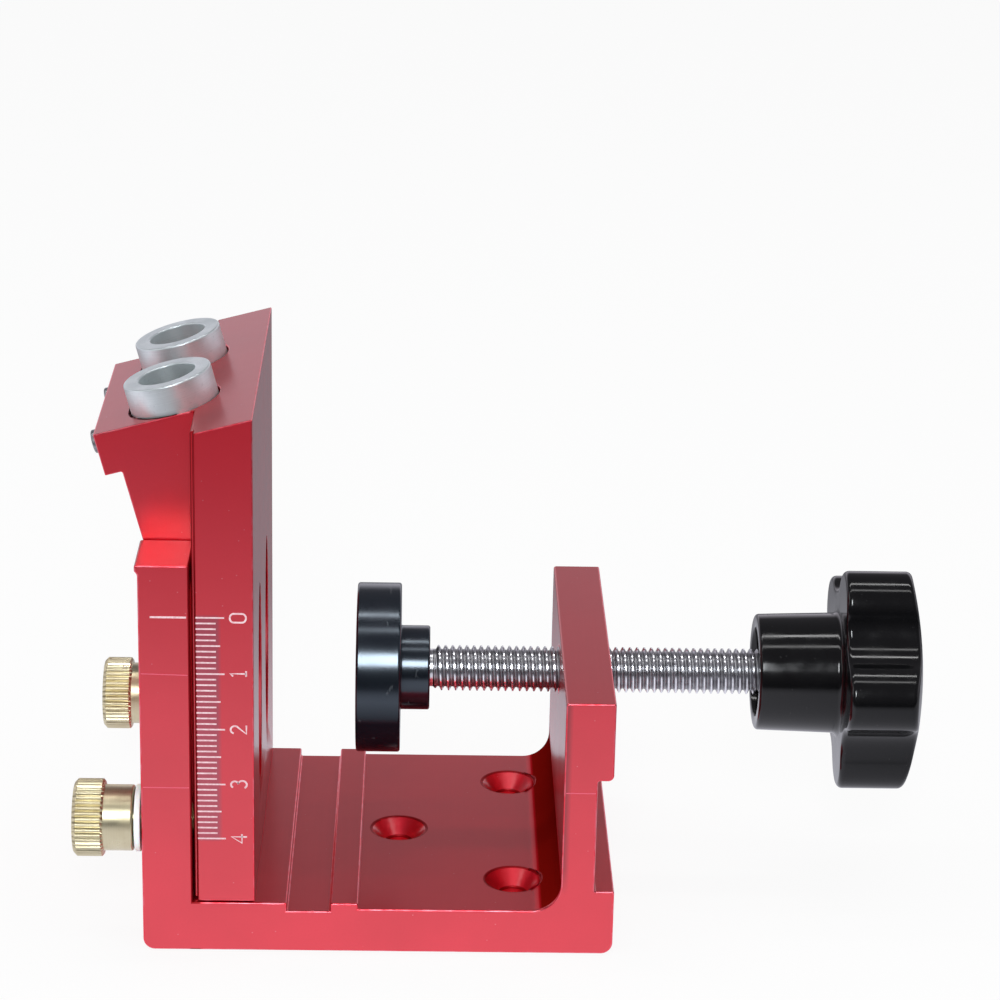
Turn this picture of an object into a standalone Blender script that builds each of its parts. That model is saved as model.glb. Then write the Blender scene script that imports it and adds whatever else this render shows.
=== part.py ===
"""Pocket hole jig: a clamped drilling guide that slides on a base frame.

Metres, +Z up. The origin is the centre of the base frame's underside. The guide block is on the left
(-X) and the pressure pad faces it on the right (+X); -Y is the side with the scale.
Every size is a named value below; places are worked out from these sizes.
"""
import itertools
import math

import bmesh
import bpy
from mathutils import Matrix, Vector

# Gaps kept by pieces that touch, slide or screw together
FIT_GAP = 0.0003
OVERRUN = 0.0020          # how far a cutter runs past the face it opens
WELD_DISTANCE = 0.000001

# Base frame: one aluminium extrusion, cut to length along Y
BASE_WIDTH = 0.0800
BASE_DEPTH = 0.0643
BASE_CORNER_RADIUS = 0.0020
FLOOR_THICKNESS = 0.0080
BED_THICKNESS = 0.0090    # raised strip of the floor beside the column
BED_WIDTH = 0.0365        # from the column's outer face
GROOVE_START = 0.0244     # chip groove in the bed, from the column's outer face
GROOVE_WIDTH = 0.0074
GROOVE_DEPTH = 0.0015
COLUMN_THICKNESS = 0.00846
COLUMN_HEIGHT = 0.0700
COLUMN_LIP = 0.0005       # bead along the column's outer top edge
COLUMN_LIP_HEIGHT = 0.0018
LEG_WIDTH = 0.0122        # the central slot leaves one leg at each end
COLUMN_SLOT_BOTTOM = 0.0300
LEG_SLOT_TOP_WALL = 0.00455  # from the end of a leg's slot to the column's top
POST_THICKNESS = 0.0084
POST_HEIGHT = 0.0464
POST_INSET = 0.0007       # from the foot's outer face to the boss
POST_ROOT_RADIUS = 0.0050
POST_WEB_THICKNESS = 0.0057
BOSS_BOTTOM = 0.0323
BOSS_CORNER_RADIUS = 0.0010
FOOT_HEIGHT = 0.0118
SCREW_HOLE_RADIUS = 0.00225
COUNTERSINK_RADIUS = 0.0049
COUNTERSINK_DEPTH = 0.00265
HOLE_ROW_SPACING = 0.0200  # from the single hole to the pair, along X
HOLE_PAIR_SPACING = 0.0400
SINGLE_HOLE_PLACE = 0.0431  # from the column's outer face

# Guide block: a plate against the column, and a body that runs in its central slot
DRILL_ANGLE = math.radians(15.0)
PLATE_THICKNESS = 0.01022
PLATE_REBATE = 0.0006     # relief beside the column's front and rear edges
PLATE_REBATE_WIDTH = 0.0015
DRILL_EXIT_HEIGHT = 0.03905  # where the drill axis leaves the work face, above the underside
DRILL_AXIS_LENGTH = 0.0544  # from there to the top face, along the drill axis
NOSE_REACH = 0.01339      # from the drill axis to the nose's face
NOSE_HEIGHT = 0.00735
BODY_REACH = 0.01044      # from the drill axis to the inclined back face
DRILL_BORE_RADIUS = 0.0052
BUSH_SPACING = 0.0230
BUSH_RADIUS = 0.0075
BUSH_BORE_RADIUS = 0.004875
BUSH_LENGTH = 0.0240
BUSH_STANDOUT = 0.0050
BUSH_CHAMFER = 0.0006
SET_SCREW_RADIUS = 0.0020
SET_SCREW_STANDOUT = 0.0020
SET_SCREW_DROP = 0.0036   # below the top face, along the drill axis
SET_SCREW_CHAMFER = 0.0003
SET_SOCKET_RADIUS = 0.00115  # across corners
SET_SOCKET_DEPTH = 0.0015
SET_SOCKET_SIDES = 6

# Thumb screws and their washers, one in each leg
THUMB_SCREW_HEIGHT = 0.02215
THUMB_SCREW_INSET = 0.0054  # from the base frame's front or rear face
THREAD_RADIUS = 0.0030
THREAD_CHAMFER = 0.0005
THREAD_SKIN = 0.0018      # plate left between the threaded hole and the work face
WASHER_RADIUS = 0.0057
WASHER_THICKNESS = 0.0010
COLLAR_RADIUS = 0.0056
COLLAR_LENGTH = 0.0050
HEAD_RADIUS = 0.00658
HEAD_LENGTH = 0.0051
HEAD_CHAMFER = 0.0006
KNURL_DEPTH = 0.00032
KNURL_COUNT = 42

# Clamp: screw, pressure pad and handwheel on one axis along X
CLAMP_HEIGHT = 0.0392
CLAMP_OPENING = 0.01642   # from the work face to the pad at rest
CLAMP_SCREW_RADIUS = 0.0040
PAD_RADIUS = 0.01487
PAD_THICKNESS = 0.0077
PAD_CHAMFER = 0.0004
PAD_HUB_RADIUS = 0.0074
PAD_HUB_LENGTH = 0.0051
PAD_WALL = 0.0046         # solid metal in front of the screw's end
THRUST_DISC_THICKNESS = 0.0010
RING_THICKNESS = 0.0010
RING_SETBACK = 0.0020     # from the hub's mouth to the retaining ring
RING_GROOVE_DEPTH = 0.0007  # in the screw
RING_SEAT_DEPTH = 0.0011  # in the pad
RING_OPENING = math.radians(60.0)
WHEEL_STANDOFF = 0.0573   # from the pad's hub to the handwheel's hub, at rest
WHEEL_HUB_RADIUS = 0.0102
WHEEL_HUB_ROOT_RADIUS = 0.0106
WHEEL_HUB_LENGTH = 0.0135
WHEEL_HUB_EDGE = 0.0005
WHEEL_FLARE = 0.0010
WHEEL_MOUTH_RADIUS = 0.0078
WHEEL_MOUTH_DEPTH = 0.0025
WHEEL_RIM_WIDTH = 0.0116
WHEEL_RIM_EDGE = 0.0008
WHEEL_DOME = 0.0029
WHEEL_LOBES = 5
WHEEL_LOBE_REACH = 0.0203
WHEEL_LOBE_RADIUS = 0.0060
WHEEL_VALLEY_REACH = 0.0146
WHEEL_TURN = math.radians(12.0)  # from straight up towards the front, at rest
INSERT_RADIUS = 0.0062
INSERT_LENGTH = 0.0209
SCREW_END_SETBACK = 0.0020  # from the insert's inner end
DOME_RING_SHARES = (0.75, 0.45)

ROUND_SIDES = 48
SMALL_SIDES = 24
CORNER_STEPS = 6
LOBE_SIDES = 16

# Places worked out from the sizes, in the frame of the whole part
FRONT = -BASE_DEPTH / 2
LEFT = -BASE_WIDTH / 2
COLUMN_FACE = LEFT + COLUMN_THICKNESS
POST_OUTER = LEFT + BASE_WIDTH - POST_INSET
POST_FACE = POST_OUTER - POST_THICKNESS
PLATE_BACK = COLUMN_FACE + FIT_GAP
WORK_FACE = PLATE_BACK + PLATE_THICKNESS
BODY_WIDTH = BASE_DEPTH - 2 * (LEG_WIDTH + FIT_GAP)
PLATE_BOTTOM = BED_THICKNESS + FIT_GAP
BUSH_SEAT = DRILL_AXIS_LENGTH + BUSH_STANDOUT - BUSH_LENGTH
SET_SCREW_PLACE = DRILL_AXIS_LENGTH - SET_SCREW_DROP
THUMB_SCREW_OFFSET = BASE_DEPTH / 2 - THUMB_SCREW_INSET
PAD_FACE = WORK_FACE + CLAMP_OPENING
SIDES = (("front", -1), ("rear", 1))


def material(name, colour, roughness, metallic):
    """A Principled material with one colour, roughness and metallic value."""
    made = bpy.data.materials.new(name)
    made.use_nodes = True
    shader = made.node_tree.nodes["Principled BSDF"]
    shader.inputs["Base Color"].default_value = (*colour, 1.0)
    shader.inputs["Roughness"].default_value = roughness
    shader.inputs["Metallic"].default_value = metallic
    return made


def empty(name, place, turn=(0.0, 0.0, 0.0)):
    """An empty that carries the pieces of one axis."""
    holder = bpy.data.objects.new(name, None)
    bpy.context.scene.collection.objects.link(holder)
    holder.location = place
    holder.rotation_euler = turn
    return holder


def add_object(name, mesh, finish=None, parent=None, place=(0.0, 0.0, 0.0), turn=(0.0, 0.0, 0.0)):
    """Put a bmesh into the scene as one object, with its normals outwards."""
    bmesh.ops.recalc_face_normals(mesh, faces=mesh.faces)
    data = bpy.data.meshes.new(name)
    mesh.to_mesh(data)
    mesh.free()
    made = bpy.data.objects.new(name, data)
    bpy.context.scene.collection.objects.link(made)
    made.parent = parent
    made.location = place
    made.rotation_euler = turn
    if finish:
        data.materials.append(finish)
        data.shade_smooth()
        data.set_sharp_from_angle(angle=math.radians(30.0))
    return made


def cut(target, *cutters):
    """Take the cutters away from the target; they stay in the file as hidden guides."""
    for cutter in cutters:
        cutter.hide_render = True
        cutter.display_type = "WIRE"
        modifier = target.modifiers.new(cutter.name, "BOOLEAN")
        modifier.operation = "DIFFERENCE"
        modifier.solver = "EXACT"
        modifier.object = cutter


def rounded(corners):
    """Outline points from (x, z, radius) corners: a corner with a radius becomes an arc."""
    points = []
    count = len(corners)
    for index, (x, z, radius) in enumerate(corners):
        here = Vector((x, z))
        if not radius:
            points.append(here)
            continue
        before = (Vector(corners[index - 1][:2]) - here).normalized()
        after = (Vector(corners[(index + 1) % count][:2]) - here).normalized()
        half = before.angle(after) / 2
        centre = here + (before + after).normalized() * (radius / math.sin(half))
        start = here + before * (radius / math.tan(half)) - centre
        sweep = start.angle_signed(here + after * (radius / math.tan(half)) - centre)
        for step in range(CORNER_STEPS + 1):
            points.append(centre + Matrix.Rotation(-sweep * step / CORNER_STEPS, 2) @ start)
    return points


def prism(outline, near, far):
    """A solid with an outline in X and Z, drawn out along Y from near to far."""
    mesh = bmesh.new()
    face = mesh.faces.new([mesh.verts.new((x, near, z)) for x, z in outline])
    drawn = bmesh.ops.extrude_face_region(mesh, geom=[face])
    moved = [item for item in drawn["geom"] if isinstance(item, bmesh.types.BMVert)]
    bmesh.ops.translate(mesh, verts=moved, vec=(0.0, far - near, 0.0))
    return mesh


def box(low, high):
    """A box between its lowest and highest corners."""
    mesh = bmesh.new()
    bmesh.ops.create_cube(mesh, size=1.0)
    bmesh.ops.scale(mesh, verts=mesh.verts, vec=Vector(high) - Vector(low))
    bmesh.ops.translate(mesh, verts=mesh.verts, vec=(Vector(high) + Vector(low)) / 2)
    return mesh


def turned(profile, sides, closed=False):
    """A solid turned about local Z from (radius, height) points; closed joins the last to the first."""
    mesh = bmesh.new()
    verts = [mesh.verts.new((radius, 0.0, height)) for radius, height in profile]
    edges = [mesh.edges.new(pair) for pair in zip(verts, verts[1:])]
    if closed:
        edges.append(mesh.edges.new((verts[-1], verts[0])))
    bmesh.ops.spin(mesh, geom=verts + edges, cent=(0.0, 0.0, 0.0), axis=(0.0, 0.0, 1.0),
                   angle=math.tau, steps=sides, use_merge=True)
    bmesh.ops.remove_doubles(mesh, verts=mesh.verts, dist=WELD_DISTANCE)
    return mesh


def rod(radius, low, high, sides=SMALL_SIDES):
    """A plain cylinder about local Z."""
    return turned([(0.0, low), (radius, low), (radius, high), (0.0, high)], sides)


def lofted(rings):
    """A solid skinned over rings of equal length, closed by a face at each end."""
    mesh = bmesh.new()
    loops = [[mesh.verts.new(point) for point in ring] for ring in rings]
    count = len(loops[0])
    for low, high in zip(loops, loops[1:]):
        for index in range(count):
            after = (index + 1) % count
            mesh.faces.new((low[index], low[after], high[after], high[index]))
    mesh.faces.new(loops[0])
    mesh.faces.new(loops[-1])
    return mesh


def leg_slot_outline():
    """Round-ended outline of a leg slot, from the thumb screw's lowest place to its highest."""
    half = THREAD_RADIUS + FIT_GAP
    bottom = THUMB_SCREW_HEIGHT - half
    top = COLUMN_HEIGHT - LEG_SLOT_TOP_WALL
    return rounded([(-half, bottom, half), (half, bottom, half), (half, top, half), (-half, top, half)])


def base_outline():
    """Cross-section of the extrusion: column, bed, floor and post."""
    right = LEFT + BASE_WIDTH
    groove = LEFT + GROOVE_START
    web = POST_FACE + POST_WEB_THICKNESS
    groove_floor = BED_THICKNESS - GROOVE_DEPTH
    return rounded([
        (LEFT, 0.0, BASE_CORNER_RADIUS),
        (right, 0.0, BASE_CORNER_RADIUS),
        (right, FOOT_HEIGHT, 0.0),
        (web, FOOT_HEIGHT, 0.0),
        (web, BOSS_BOTTOM, 0.0),
        (POST_OUTER, BOSS_BOTTOM, BOSS_CORNER_RADIUS),
        (POST_OUTER, POST_HEIGHT, 0.0),
        (POST_FACE, POST_HEIGHT, 0.0),
        (POST_FACE, FLOOR_THICKNESS, POST_ROOT_RADIUS),
        (LEFT + BED_WIDTH, FLOOR_THICKNESS, 0.0),
        (LEFT + BED_WIDTH, BED_THICKNESS, 0.0),
        (groove + GROOVE_WIDTH, BED_THICKNESS, 0.0),
        (groove + GROOVE_WIDTH, groove_floor, 0.0),
        (groove, groove_floor, 0.0),
        (groove, BED_THICKNESS, 0.0),
        (COLUMN_FACE, BED_THICKNESS, 0.0),
        (COLUMN_FACE, COLUMN_HEIGHT, 0.0),
        (LEFT - COLUMN_LIP, COLUMN_HEIGHT, 0.0),
        (LEFT - COLUMN_LIP, COLUMN_HEIGHT - COLUMN_LIP_HEIGHT / 2, 0.0),
        (LEFT, COLUMN_HEIGHT - COLUMN_LIP_HEIGHT, 0.0),
    ])


def make_base_frame(finish):
    """The frame with its central slot, leg slots, clamp bore and three countersunk holes."""
    frame = add_object("base_frame", prism(base_outline(), FRONT, -FRONT), finish)
    far_left = LEFT - COLUMN_LIP - OVERRUN
    slot_side = -FRONT - LEG_WIDTH
    slot = [(far_left, COLUMN_SLOT_BOTTOM), (COLUMN_FACE + OVERRUN, COLUMN_SLOT_BOTTOM),
            (COLUMN_FACE + OVERRUN, COLUMN_HEIGHT + OVERRUN), (far_left, COLUMN_HEIGHT + OVERRUN)]
    cut(frame, add_object("column_slot_cutter", prism(slot, -slot_side, slot_side)))
    for side, sign in SIDES:
        leg_slot = prism(leg_slot_outline(), far_left, COLUMN_FACE + OVERRUN)
        bmesh.ops.rotate(leg_slot, verts=leg_slot.verts, matrix=Matrix.Rotation(-math.pi / 2, 3, "Z"))
        cut(frame, add_object(side + "_leg_slot_cutter", leg_slot,
                              place=(0.0, sign * THUMB_SCREW_OFFSET, 0.0)))
    bore = rod(CLAMP_SCREW_RADIUS + FIT_GAP, -OVERRUN, POST_THICKNESS + OVERRUN)
    cut(frame, add_object("clamp_bore_cutter", bore, place=(POST_FACE, 0.0, CLAMP_HEIGHT),
                          turn=(0.0, math.pi / 2, 0.0)))
    pair_place = LEFT + SINGLE_HOLE_PLACE + HOLE_ROW_SPACING
    holes = (("single", LEFT + SINGLE_HOLE_PLACE, 0.0),
             ("front", pair_place, -HOLE_PAIR_SPACING / 2), ("rear", pair_place, HOLE_PAIR_SPACING / 2))
    for name, x, y in holes:
        hole = turned([(0.0, -OVERRUN), (SCREW_HOLE_RADIUS, -OVERRUN),
                       (SCREW_HOLE_RADIUS, FLOOR_THICKNESS - COUNTERSINK_DEPTH),
                       (COUNTERSINK_RADIUS, FLOOR_THICKNESS),
                       (COUNTERSINK_RADIUS, FLOOR_THICKNESS + OVERRUN),
                       (0.0, FLOOR_THICKNESS + OVERRUN)], ROUND_SIDES)
        cut(frame, add_object(name + "_screw_hole_cutter", hole, place=(x, y, 0.0)))


def on_drill_axis(across, along):
    """X and Z of a point given across the drill axis (towards +X) and along it from its exit."""
    cosine, sine = math.cos(DRILL_ANGLE), math.sin(DRILL_ANGLE)
    return (WORK_FACE + across * cosine - along * sine,
            DRILL_EXIT_HEIGHT + across * sine + along * cosine)


def top_height(x):
    """Height of the guide block's inclined top face at x."""
    return (DRILL_EXIT_HEIGHT + DRILL_AXIS_LENGTH / math.cos(DRILL_ANGLE)
            - (WORK_FACE - x) * math.tan(DRILL_ANGLE))


def block_outline():
    """Cross-section through the middle of the guide block: plate, nose and inclined back."""
    nose_bottom = DRILL_AXIS_LENGTH - NOSE_HEIGHT
    back_x, back_z = on_drill_axis(-BODY_REACH, 0.0)
    heel = back_z + (back_x - PLATE_BACK) / math.tan(DRILL_ANGLE)
    return [(WORK_FACE, PLATE_BOTTOM), (WORK_FACE, top_height(WORK_FACE)),
            on_drill_axis(-NOSE_REACH, DRILL_AXIS_LENGTH), on_drill_axis(-NOSE_REACH, nose_bottom),
            on_drill_axis(-BODY_REACH, nose_bottom), (PLATE_BACK, heel), (PLATE_BACK, PLATE_BOTTOM)]


def drill_axis_frame(side, sign):
    """An empty at the drill axis's exit, with its local Z up along the axis."""
    return empty(side + "_drill_axis", (WORK_FACE, sign * BUSH_SPACING / 2, DRILL_EXIT_HEIGHT),
                 (0.0, -DRILL_ANGLE, 0.0))


def make_guide_block(finish, axes):
    """The guide block, bored for the bushes, the drill, their set screws and the thumb screws."""
    block = add_object("guide_block", prism(block_outline(), FRONT, -FRONT), finish)
    nose_end = on_drill_axis(-NOSE_REACH, DRILL_AXIS_LENGTH)[0] - OVERRUN
    beyond = BASE_DEPTH / 2 + OVERRUN
    steps = (("nose", PLATE_BACK, BODY_WIDTH / 2),
             ("rebate", PLATE_BACK + PLATE_REBATE, BASE_DEPTH / 2 - PLATE_REBATE_WIDTH))
    for (side, sign), (name, back, inner) in itertools.product(SIDES, steps):
        near, far = sorted((sign * inner, sign * beyond))
        step = box((nose_end, near, PLATE_BOTTOM - OVERRUN),
                   (back, far, top_height(WORK_FACE) + OVERRUN))
        cut(block, add_object(f"{side}_{name}_step_cutter", step))
    for (side, sign), axis in zip(SIDES, axes):
        exit_depth = DRILL_BORE_RADIUS / math.tan(DRILL_ANGLE) + OVERRUN
        bore_radius = BUSH_RADIUS + FIT_GAP
        seat = BUSH_SEAT - FIT_GAP
        bore = turned([(0.0, -exit_depth), (DRILL_BORE_RADIUS, -exit_depth), (DRILL_BORE_RADIUS, seat),
                       (bore_radius, seat), (bore_radius, DRILL_AXIS_LENGTH + OVERRUN),
                       (0.0, DRILL_AXIS_LENGTH + OVERRUN)], ROUND_SIDES)
        screw_hole = rod(SET_SCREW_RADIUS + FIT_GAP, BUSH_RADIUS, NOSE_REACH + OVERRUN)
        thread_end = WORK_FACE - THREAD_SKIN
        thread_hole = rod(THREAD_RADIUS + FIT_GAP, PLATE_BACK - OVERRUN, thread_end)
        cut(block,
            add_object(side + "_bush_bore_cutter", bore, parent=axis),
            add_object(side + "_set_screw_cutter", screw_hole, parent=axis,
                       place=(0.0, 0.0, SET_SCREW_PLACE), turn=(0.0, -math.pi / 2, 0.0)),
            add_object(side + "_thread_hole_cutter", thread_hole,
                       place=(0.0, sign * THUMB_SCREW_OFFSET, THUMB_SCREW_HEIGHT),
                       turn=(0.0, math.pi / 2, 0.0)))


def make_drill_bush(side, axis, finish):
    """A plain hardened sleeve that stands out of the guide block's top."""
    top = BUSH_SEAT + BUSH_LENGTH
    profile = [(BUSH_BORE_RADIUS, BUSH_SEAT), (BUSH_RADIUS - BUSH_CHAMFER, BUSH_SEAT),
               (BUSH_RADIUS, BUSH_SEAT + BUSH_CHAMFER), (BUSH_RADIUS, top - BUSH_CHAMFER / 2),
               (BUSH_RADIUS - BUSH_CHAMFER / 2, top), (BUSH_BORE_RADIUS + BUSH_CHAMFER / 2, top),
               (BUSH_BORE_RADIUS, top - BUSH_CHAMFER / 2)]
    add_object(side + "_drill_bush", turned(profile, ROUND_SIDES, closed=True), finish, axis)


def make_set_screw(side, axis, finish):
    """A socket set screw in the nose, square to its bush."""
    tip = BUSH_RADIUS + FIT_GAP
    head = NOSE_REACH + SET_SCREW_STANDOUT
    rim = SET_SCREW_RADIUS - SET_SCREW_CHAMFER
    place = (0.0, 0.0, SET_SCREW_PLACE)
    turn = (0.0, -math.pi / 2, 0.0)
    body = turned([(0.0, tip), (rim, tip), (SET_SCREW_RADIUS, tip + SET_SCREW_CHAMFER),
                   (SET_SCREW_RADIUS, head - SET_SCREW_CHAMFER), (rim, head), (0.0, head)], SMALL_SIDES)
    screw = add_object(side + "_bush_set_screw", body, finish, axis, place, turn)
    socket = rod(SET_SOCKET_RADIUS, head - SET_SOCKET_DEPTH, head + OVERRUN, SET_SOCKET_SIDES)
    cut(screw, add_object(side + "_set_socket_cutter", socket, None, axis, place, turn))


def make_nylon_washer(side, axis, finish):
    """The washer between a thumb screw's collar and the column."""
    inner = THREAD_RADIUS + FIT_GAP
    low, high = FIT_GAP, FIT_GAP + WASHER_THICKNESS
    profile = [(inner, low), (WASHER_RADIUS, low), (WASHER_RADIUS, high), (inner, high)]
    add_object(side + "_nylon_washer", turned(profile, ROUND_SIDES, closed=True), finish, axis)


def knurled_ring(radius, depth, height):
    """A ring of ridges and grooves at a height above the column, two points to a ridge."""
    count = 2 * KNURL_COUNT
    points = []
    for index in range(count):
        reach = radius - (depth if index % 2 else 0.0)
        angle = math.tau * index / count
        points.append((reach * math.cos(angle), reach * math.sin(angle), height))
    return points


def make_thumb_screw(side, axis, finish):
    """A knurled head with a plain collar and an M6 thread, on an axis that points out of the column."""
    tip = LEFT - (WORK_FACE - THREAD_SKIN - FIT_GAP)
    seat = WASHER_THICKNESS + 2 * FIT_GAP
    head = seat + COLLAR_LENGTH
    end = head + HEAD_LENGTH
    sections = [(THREAD_RADIUS - THREAD_CHAMFER, 0.0, tip), (THREAD_RADIUS, 0.0, tip + THREAD_CHAMFER),
                (THREAD_RADIUS, 0.0, seat), (COLLAR_RADIUS, 0.0, seat), (COLLAR_RADIUS, 0.0, head),
                (HEAD_RADIUS - HEAD_CHAMFER, 0.0, head),
                (HEAD_RADIUS, KNURL_DEPTH, head + HEAD_CHAMFER),
                (HEAD_RADIUS, KNURL_DEPTH, end - HEAD_CHAMFER), (HEAD_RADIUS - HEAD_CHAMFER, 0.0, end)]
    rings = [knurled_ring(radius, depth, height) for radius, depth, height in sections]
    add_object(side + "_thumb_screw", lofted(rings), finish, axis)


def make_pressure_pad(axis, finish):
    """The pad: a disc with a hub, bored for the screw's end and grooved for its retaining ring."""
    hub_end = PAD_THICKNESS + PAD_HUB_LENGTH
    bore = CLAMP_SCREW_RADIUS + FIT_GAP
    seat_low = hub_end - RING_SETBACK - RING_THICKNESS - FIT_GAP
    seat_high = hub_end - RING_SETBACK + FIT_GAP
    seat = bore + RING_SEAT_DEPTH
    profile = [(0.0, 0.0), (PAD_RADIUS - PAD_CHAMFER, 0.0), (PAD_RADIUS, PAD_CHAMFER),
               (PAD_RADIUS, PAD_THICKNESS - PAD_CHAMFER), (PAD_RADIUS - PAD_CHAMFER, PAD_THICKNESS),
               (PAD_HUB_RADIUS, PAD_THICKNESS), (PAD_HUB_RADIUS, hub_end - PAD_CHAMFER),
               (PAD_HUB_RADIUS - PAD_CHAMFER, hub_end), (bore, hub_end), (bore, seat_high),
               (seat, seat_high), (seat, seat_low), (bore, seat_low), (bore, PAD_WALL), (0.0, PAD_WALL)]
    add_object("pressure_pad", turned(profile, ROUND_SIDES), finish, axis)


def make_thrust_disc(axis, finish):
    """The steel disc that takes the screw's push, at the bottom of the pad's bore."""
    low = PAD_WALL + FIT_GAP
    add_object("pad_thrust_disc", rod(CLAMP_SCREW_RADIUS, low, low + THRUST_DISC_THICKNESS), finish, axis)


def make_retaining_ring(axis, finish):
    """A split ring sprung into the screw's groove, which keeps the pad on the screw."""
    low = PAD_THICKNESS + PAD_HUB_LENGTH - RING_SETBACK - RING_THICKNESS
    inner = CLAMP_SCREW_RADIUS - RING_GROOVE_DEPTH + FIT_GAP
    outer = CLAMP_SCREW_RADIUS + RING_SEAT_DEPTH
    sweep = math.tau - RING_OPENING
    rings = []
    for step in range(ROUND_SIDES // 2 + 1):
        angle = RING_OPENING / 2 + sweep * step / (ROUND_SIDES // 2)
        cosine, sine = math.cos(angle), math.sin(angle)
        rings.append([(radius * cosine, radius * sine, height) for radius, height in (
            (inner, low), (outer, low), (outer, low + RING_THICKNESS), (inner, low + RING_THICKNESS))])
    add_object("pad_retaining_ring", lofted(rings), finish, axis)


def wheel_hub_start():
    """Distance from the pad's face to the handwheel's hub."""
    return PAD_THICKNESS + PAD_HUB_LENGTH + WHEEL_STANDOFF


def insert_span():
    """Where the handwheel's insert starts and ends, from the pad's face."""
    start = wheel_hub_start() + WHEEL_MOUTH_DEPTH + FIT_GAP
    return start, start + INSERT_LENGTH


def make_clamp_screw(axis, finish):
    """The M8 clamp screw, drawn at its outer diameter, with the retaining ring's groove."""
    start = PAD_WALL + THRUST_DISC_THICKNESS + 2 * FIT_GAP
    end = insert_span()[1] - SCREW_END_SETBACK
    ring_high = PAD_THICKNESS + PAD_HUB_LENGTH - RING_SETBACK + FIT_GAP
    ring_low = ring_high - RING_THICKNESS - 2 * FIT_GAP
    groove = CLAMP_SCREW_RADIUS - RING_GROOVE_DEPTH
    tip = CLAMP_SCREW_RADIUS - THREAD_CHAMFER
    profile = [(0.0, start), (tip, start), (CLAMP_SCREW_RADIUS, start + THREAD_CHAMFER),
               (CLAMP_SCREW_RADIUS, ring_low), (groove, ring_low), (groove, ring_high),
               (CLAMP_SCREW_RADIUS, ring_high), (CLAMP_SCREW_RADIUS, end - THREAD_CHAMFER),
               (tip, end), (0.0, end)]
    add_object("clamp_screw", turned(profile, ROUND_SIDES), finish, axis)


def make_wheel_insert(axis, finish):
    """The threaded brass insert in the handwheel's bore."""
    start, end = insert_span()
    inner = CLAMP_SCREW_RADIUS + FIT_GAP
    profile = [(inner, start), (INSERT_RADIUS, start), (INSERT_RADIUS, end), (inner, end)]
    add_object("handwheel_insert", turned(profile, ROUND_SIDES, closed=True), finish, axis)


def lobe_reach(angle):
    """Radius of the lobed rim at an angle from a lobe's crest: crest arcs, tangent valley arcs."""
    half = math.pi / WHEEL_LOBES
    crest = WHEEL_LOBE_REACH - WHEEL_LOBE_RADIUS
    fall = WHEEL_LOBE_RADIUS - WHEEL_VALLEY_REACH
    centre = (crest * crest - fall * fall) / (2 * (crest * math.cos(half) + fall))
    valley = centre - WHEEL_VALLEY_REACH
    share = WHEEL_LOBE_RADIUS / (WHEEL_LOBE_RADIUS + valley)
    touch_x = crest + (centre * math.cos(half) - crest) * share
    touch_y = centre * math.sin(half) * share
    off = abs((angle + half) % (2 * half) - half)
    if off < math.atan2(touch_y, touch_x):
        return crest * math.cos(off) + math.sqrt(WHEEL_LOBE_RADIUS ** 2 - (crest * math.sin(off)) ** 2)
    back = half - off
    return centre * math.cos(back) - math.sqrt(valley ** 2 - (centre * math.sin(back)) ** 2)


def wheel_ring(height, radius=0.0, inset=0.0, share=1.0):
    """A ring of the handwheel: a circle where a radius is given, else the lobed rim, inset or shrunk."""
    count = WHEEL_LOBES * LOBE_SIDES
    points = []
    for index in range(count):
        angle = math.tau * index / count
        reach = radius if radius else (lobe_reach(angle) - inset) * share
        points.append((-reach * math.cos(angle + WHEEL_TURN), -reach * math.sin(angle + WHEEL_TURN), height))
    return points


def make_handwheel(axis, finish):
    """A moulded handwheel: bored hub, flared root, lobed rim and a low domed end."""
    hub = wheel_hub_start()
    root = hub + WHEEL_HUB_LENGTH
    rim = root + WHEEL_FLARE
    rim_end = rim + WHEEL_RIM_WIDTH
    mouth = hub + WHEEL_MOUTH_DEPTH
    bore = INSERT_RADIUS + FIT_GAP
    flare = 1.0 - math.cos(math.pi / 4)
    rings = [wheel_ring(insert_span()[1] + FIT_GAP, bore), wheel_ring(mouth, bore),
             wheel_ring(mouth, WHEEL_MOUTH_RADIUS), wheel_ring(hub, WHEEL_MOUTH_RADIUS),
             wheel_ring(hub, WHEEL_HUB_RADIUS - WHEEL_HUB_EDGE),
             wheel_ring(hub + WHEEL_HUB_EDGE, WHEEL_HUB_RADIUS), wheel_ring(root, WHEEL_HUB_ROOT_RADIUS),
             wheel_ring(rim - WHEEL_FLARE * flare, WHEEL_HUB_ROOT_RADIUS + WHEEL_FLARE * flare),
             wheel_ring(rim, WHEEL_HUB_ROOT_RADIUS + WHEEL_FLARE),
             wheel_ring(rim, inset=WHEEL_RIM_EDGE), wheel_ring(rim + WHEEL_RIM_EDGE),
             wheel_ring(rim_end - WHEEL_RIM_EDGE), wheel_ring(rim_end, inset=WHEEL_RIM_EDGE)]
    for share in DOME_RING_SHARES:
        rings.append(wheel_ring(rim_end + WHEEL_DOME * (1.0 - share ** 2), inset=WHEEL_RIM_EDGE, share=share))
    add_object("handwheel", lofted(rings), finish, axis)


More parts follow.
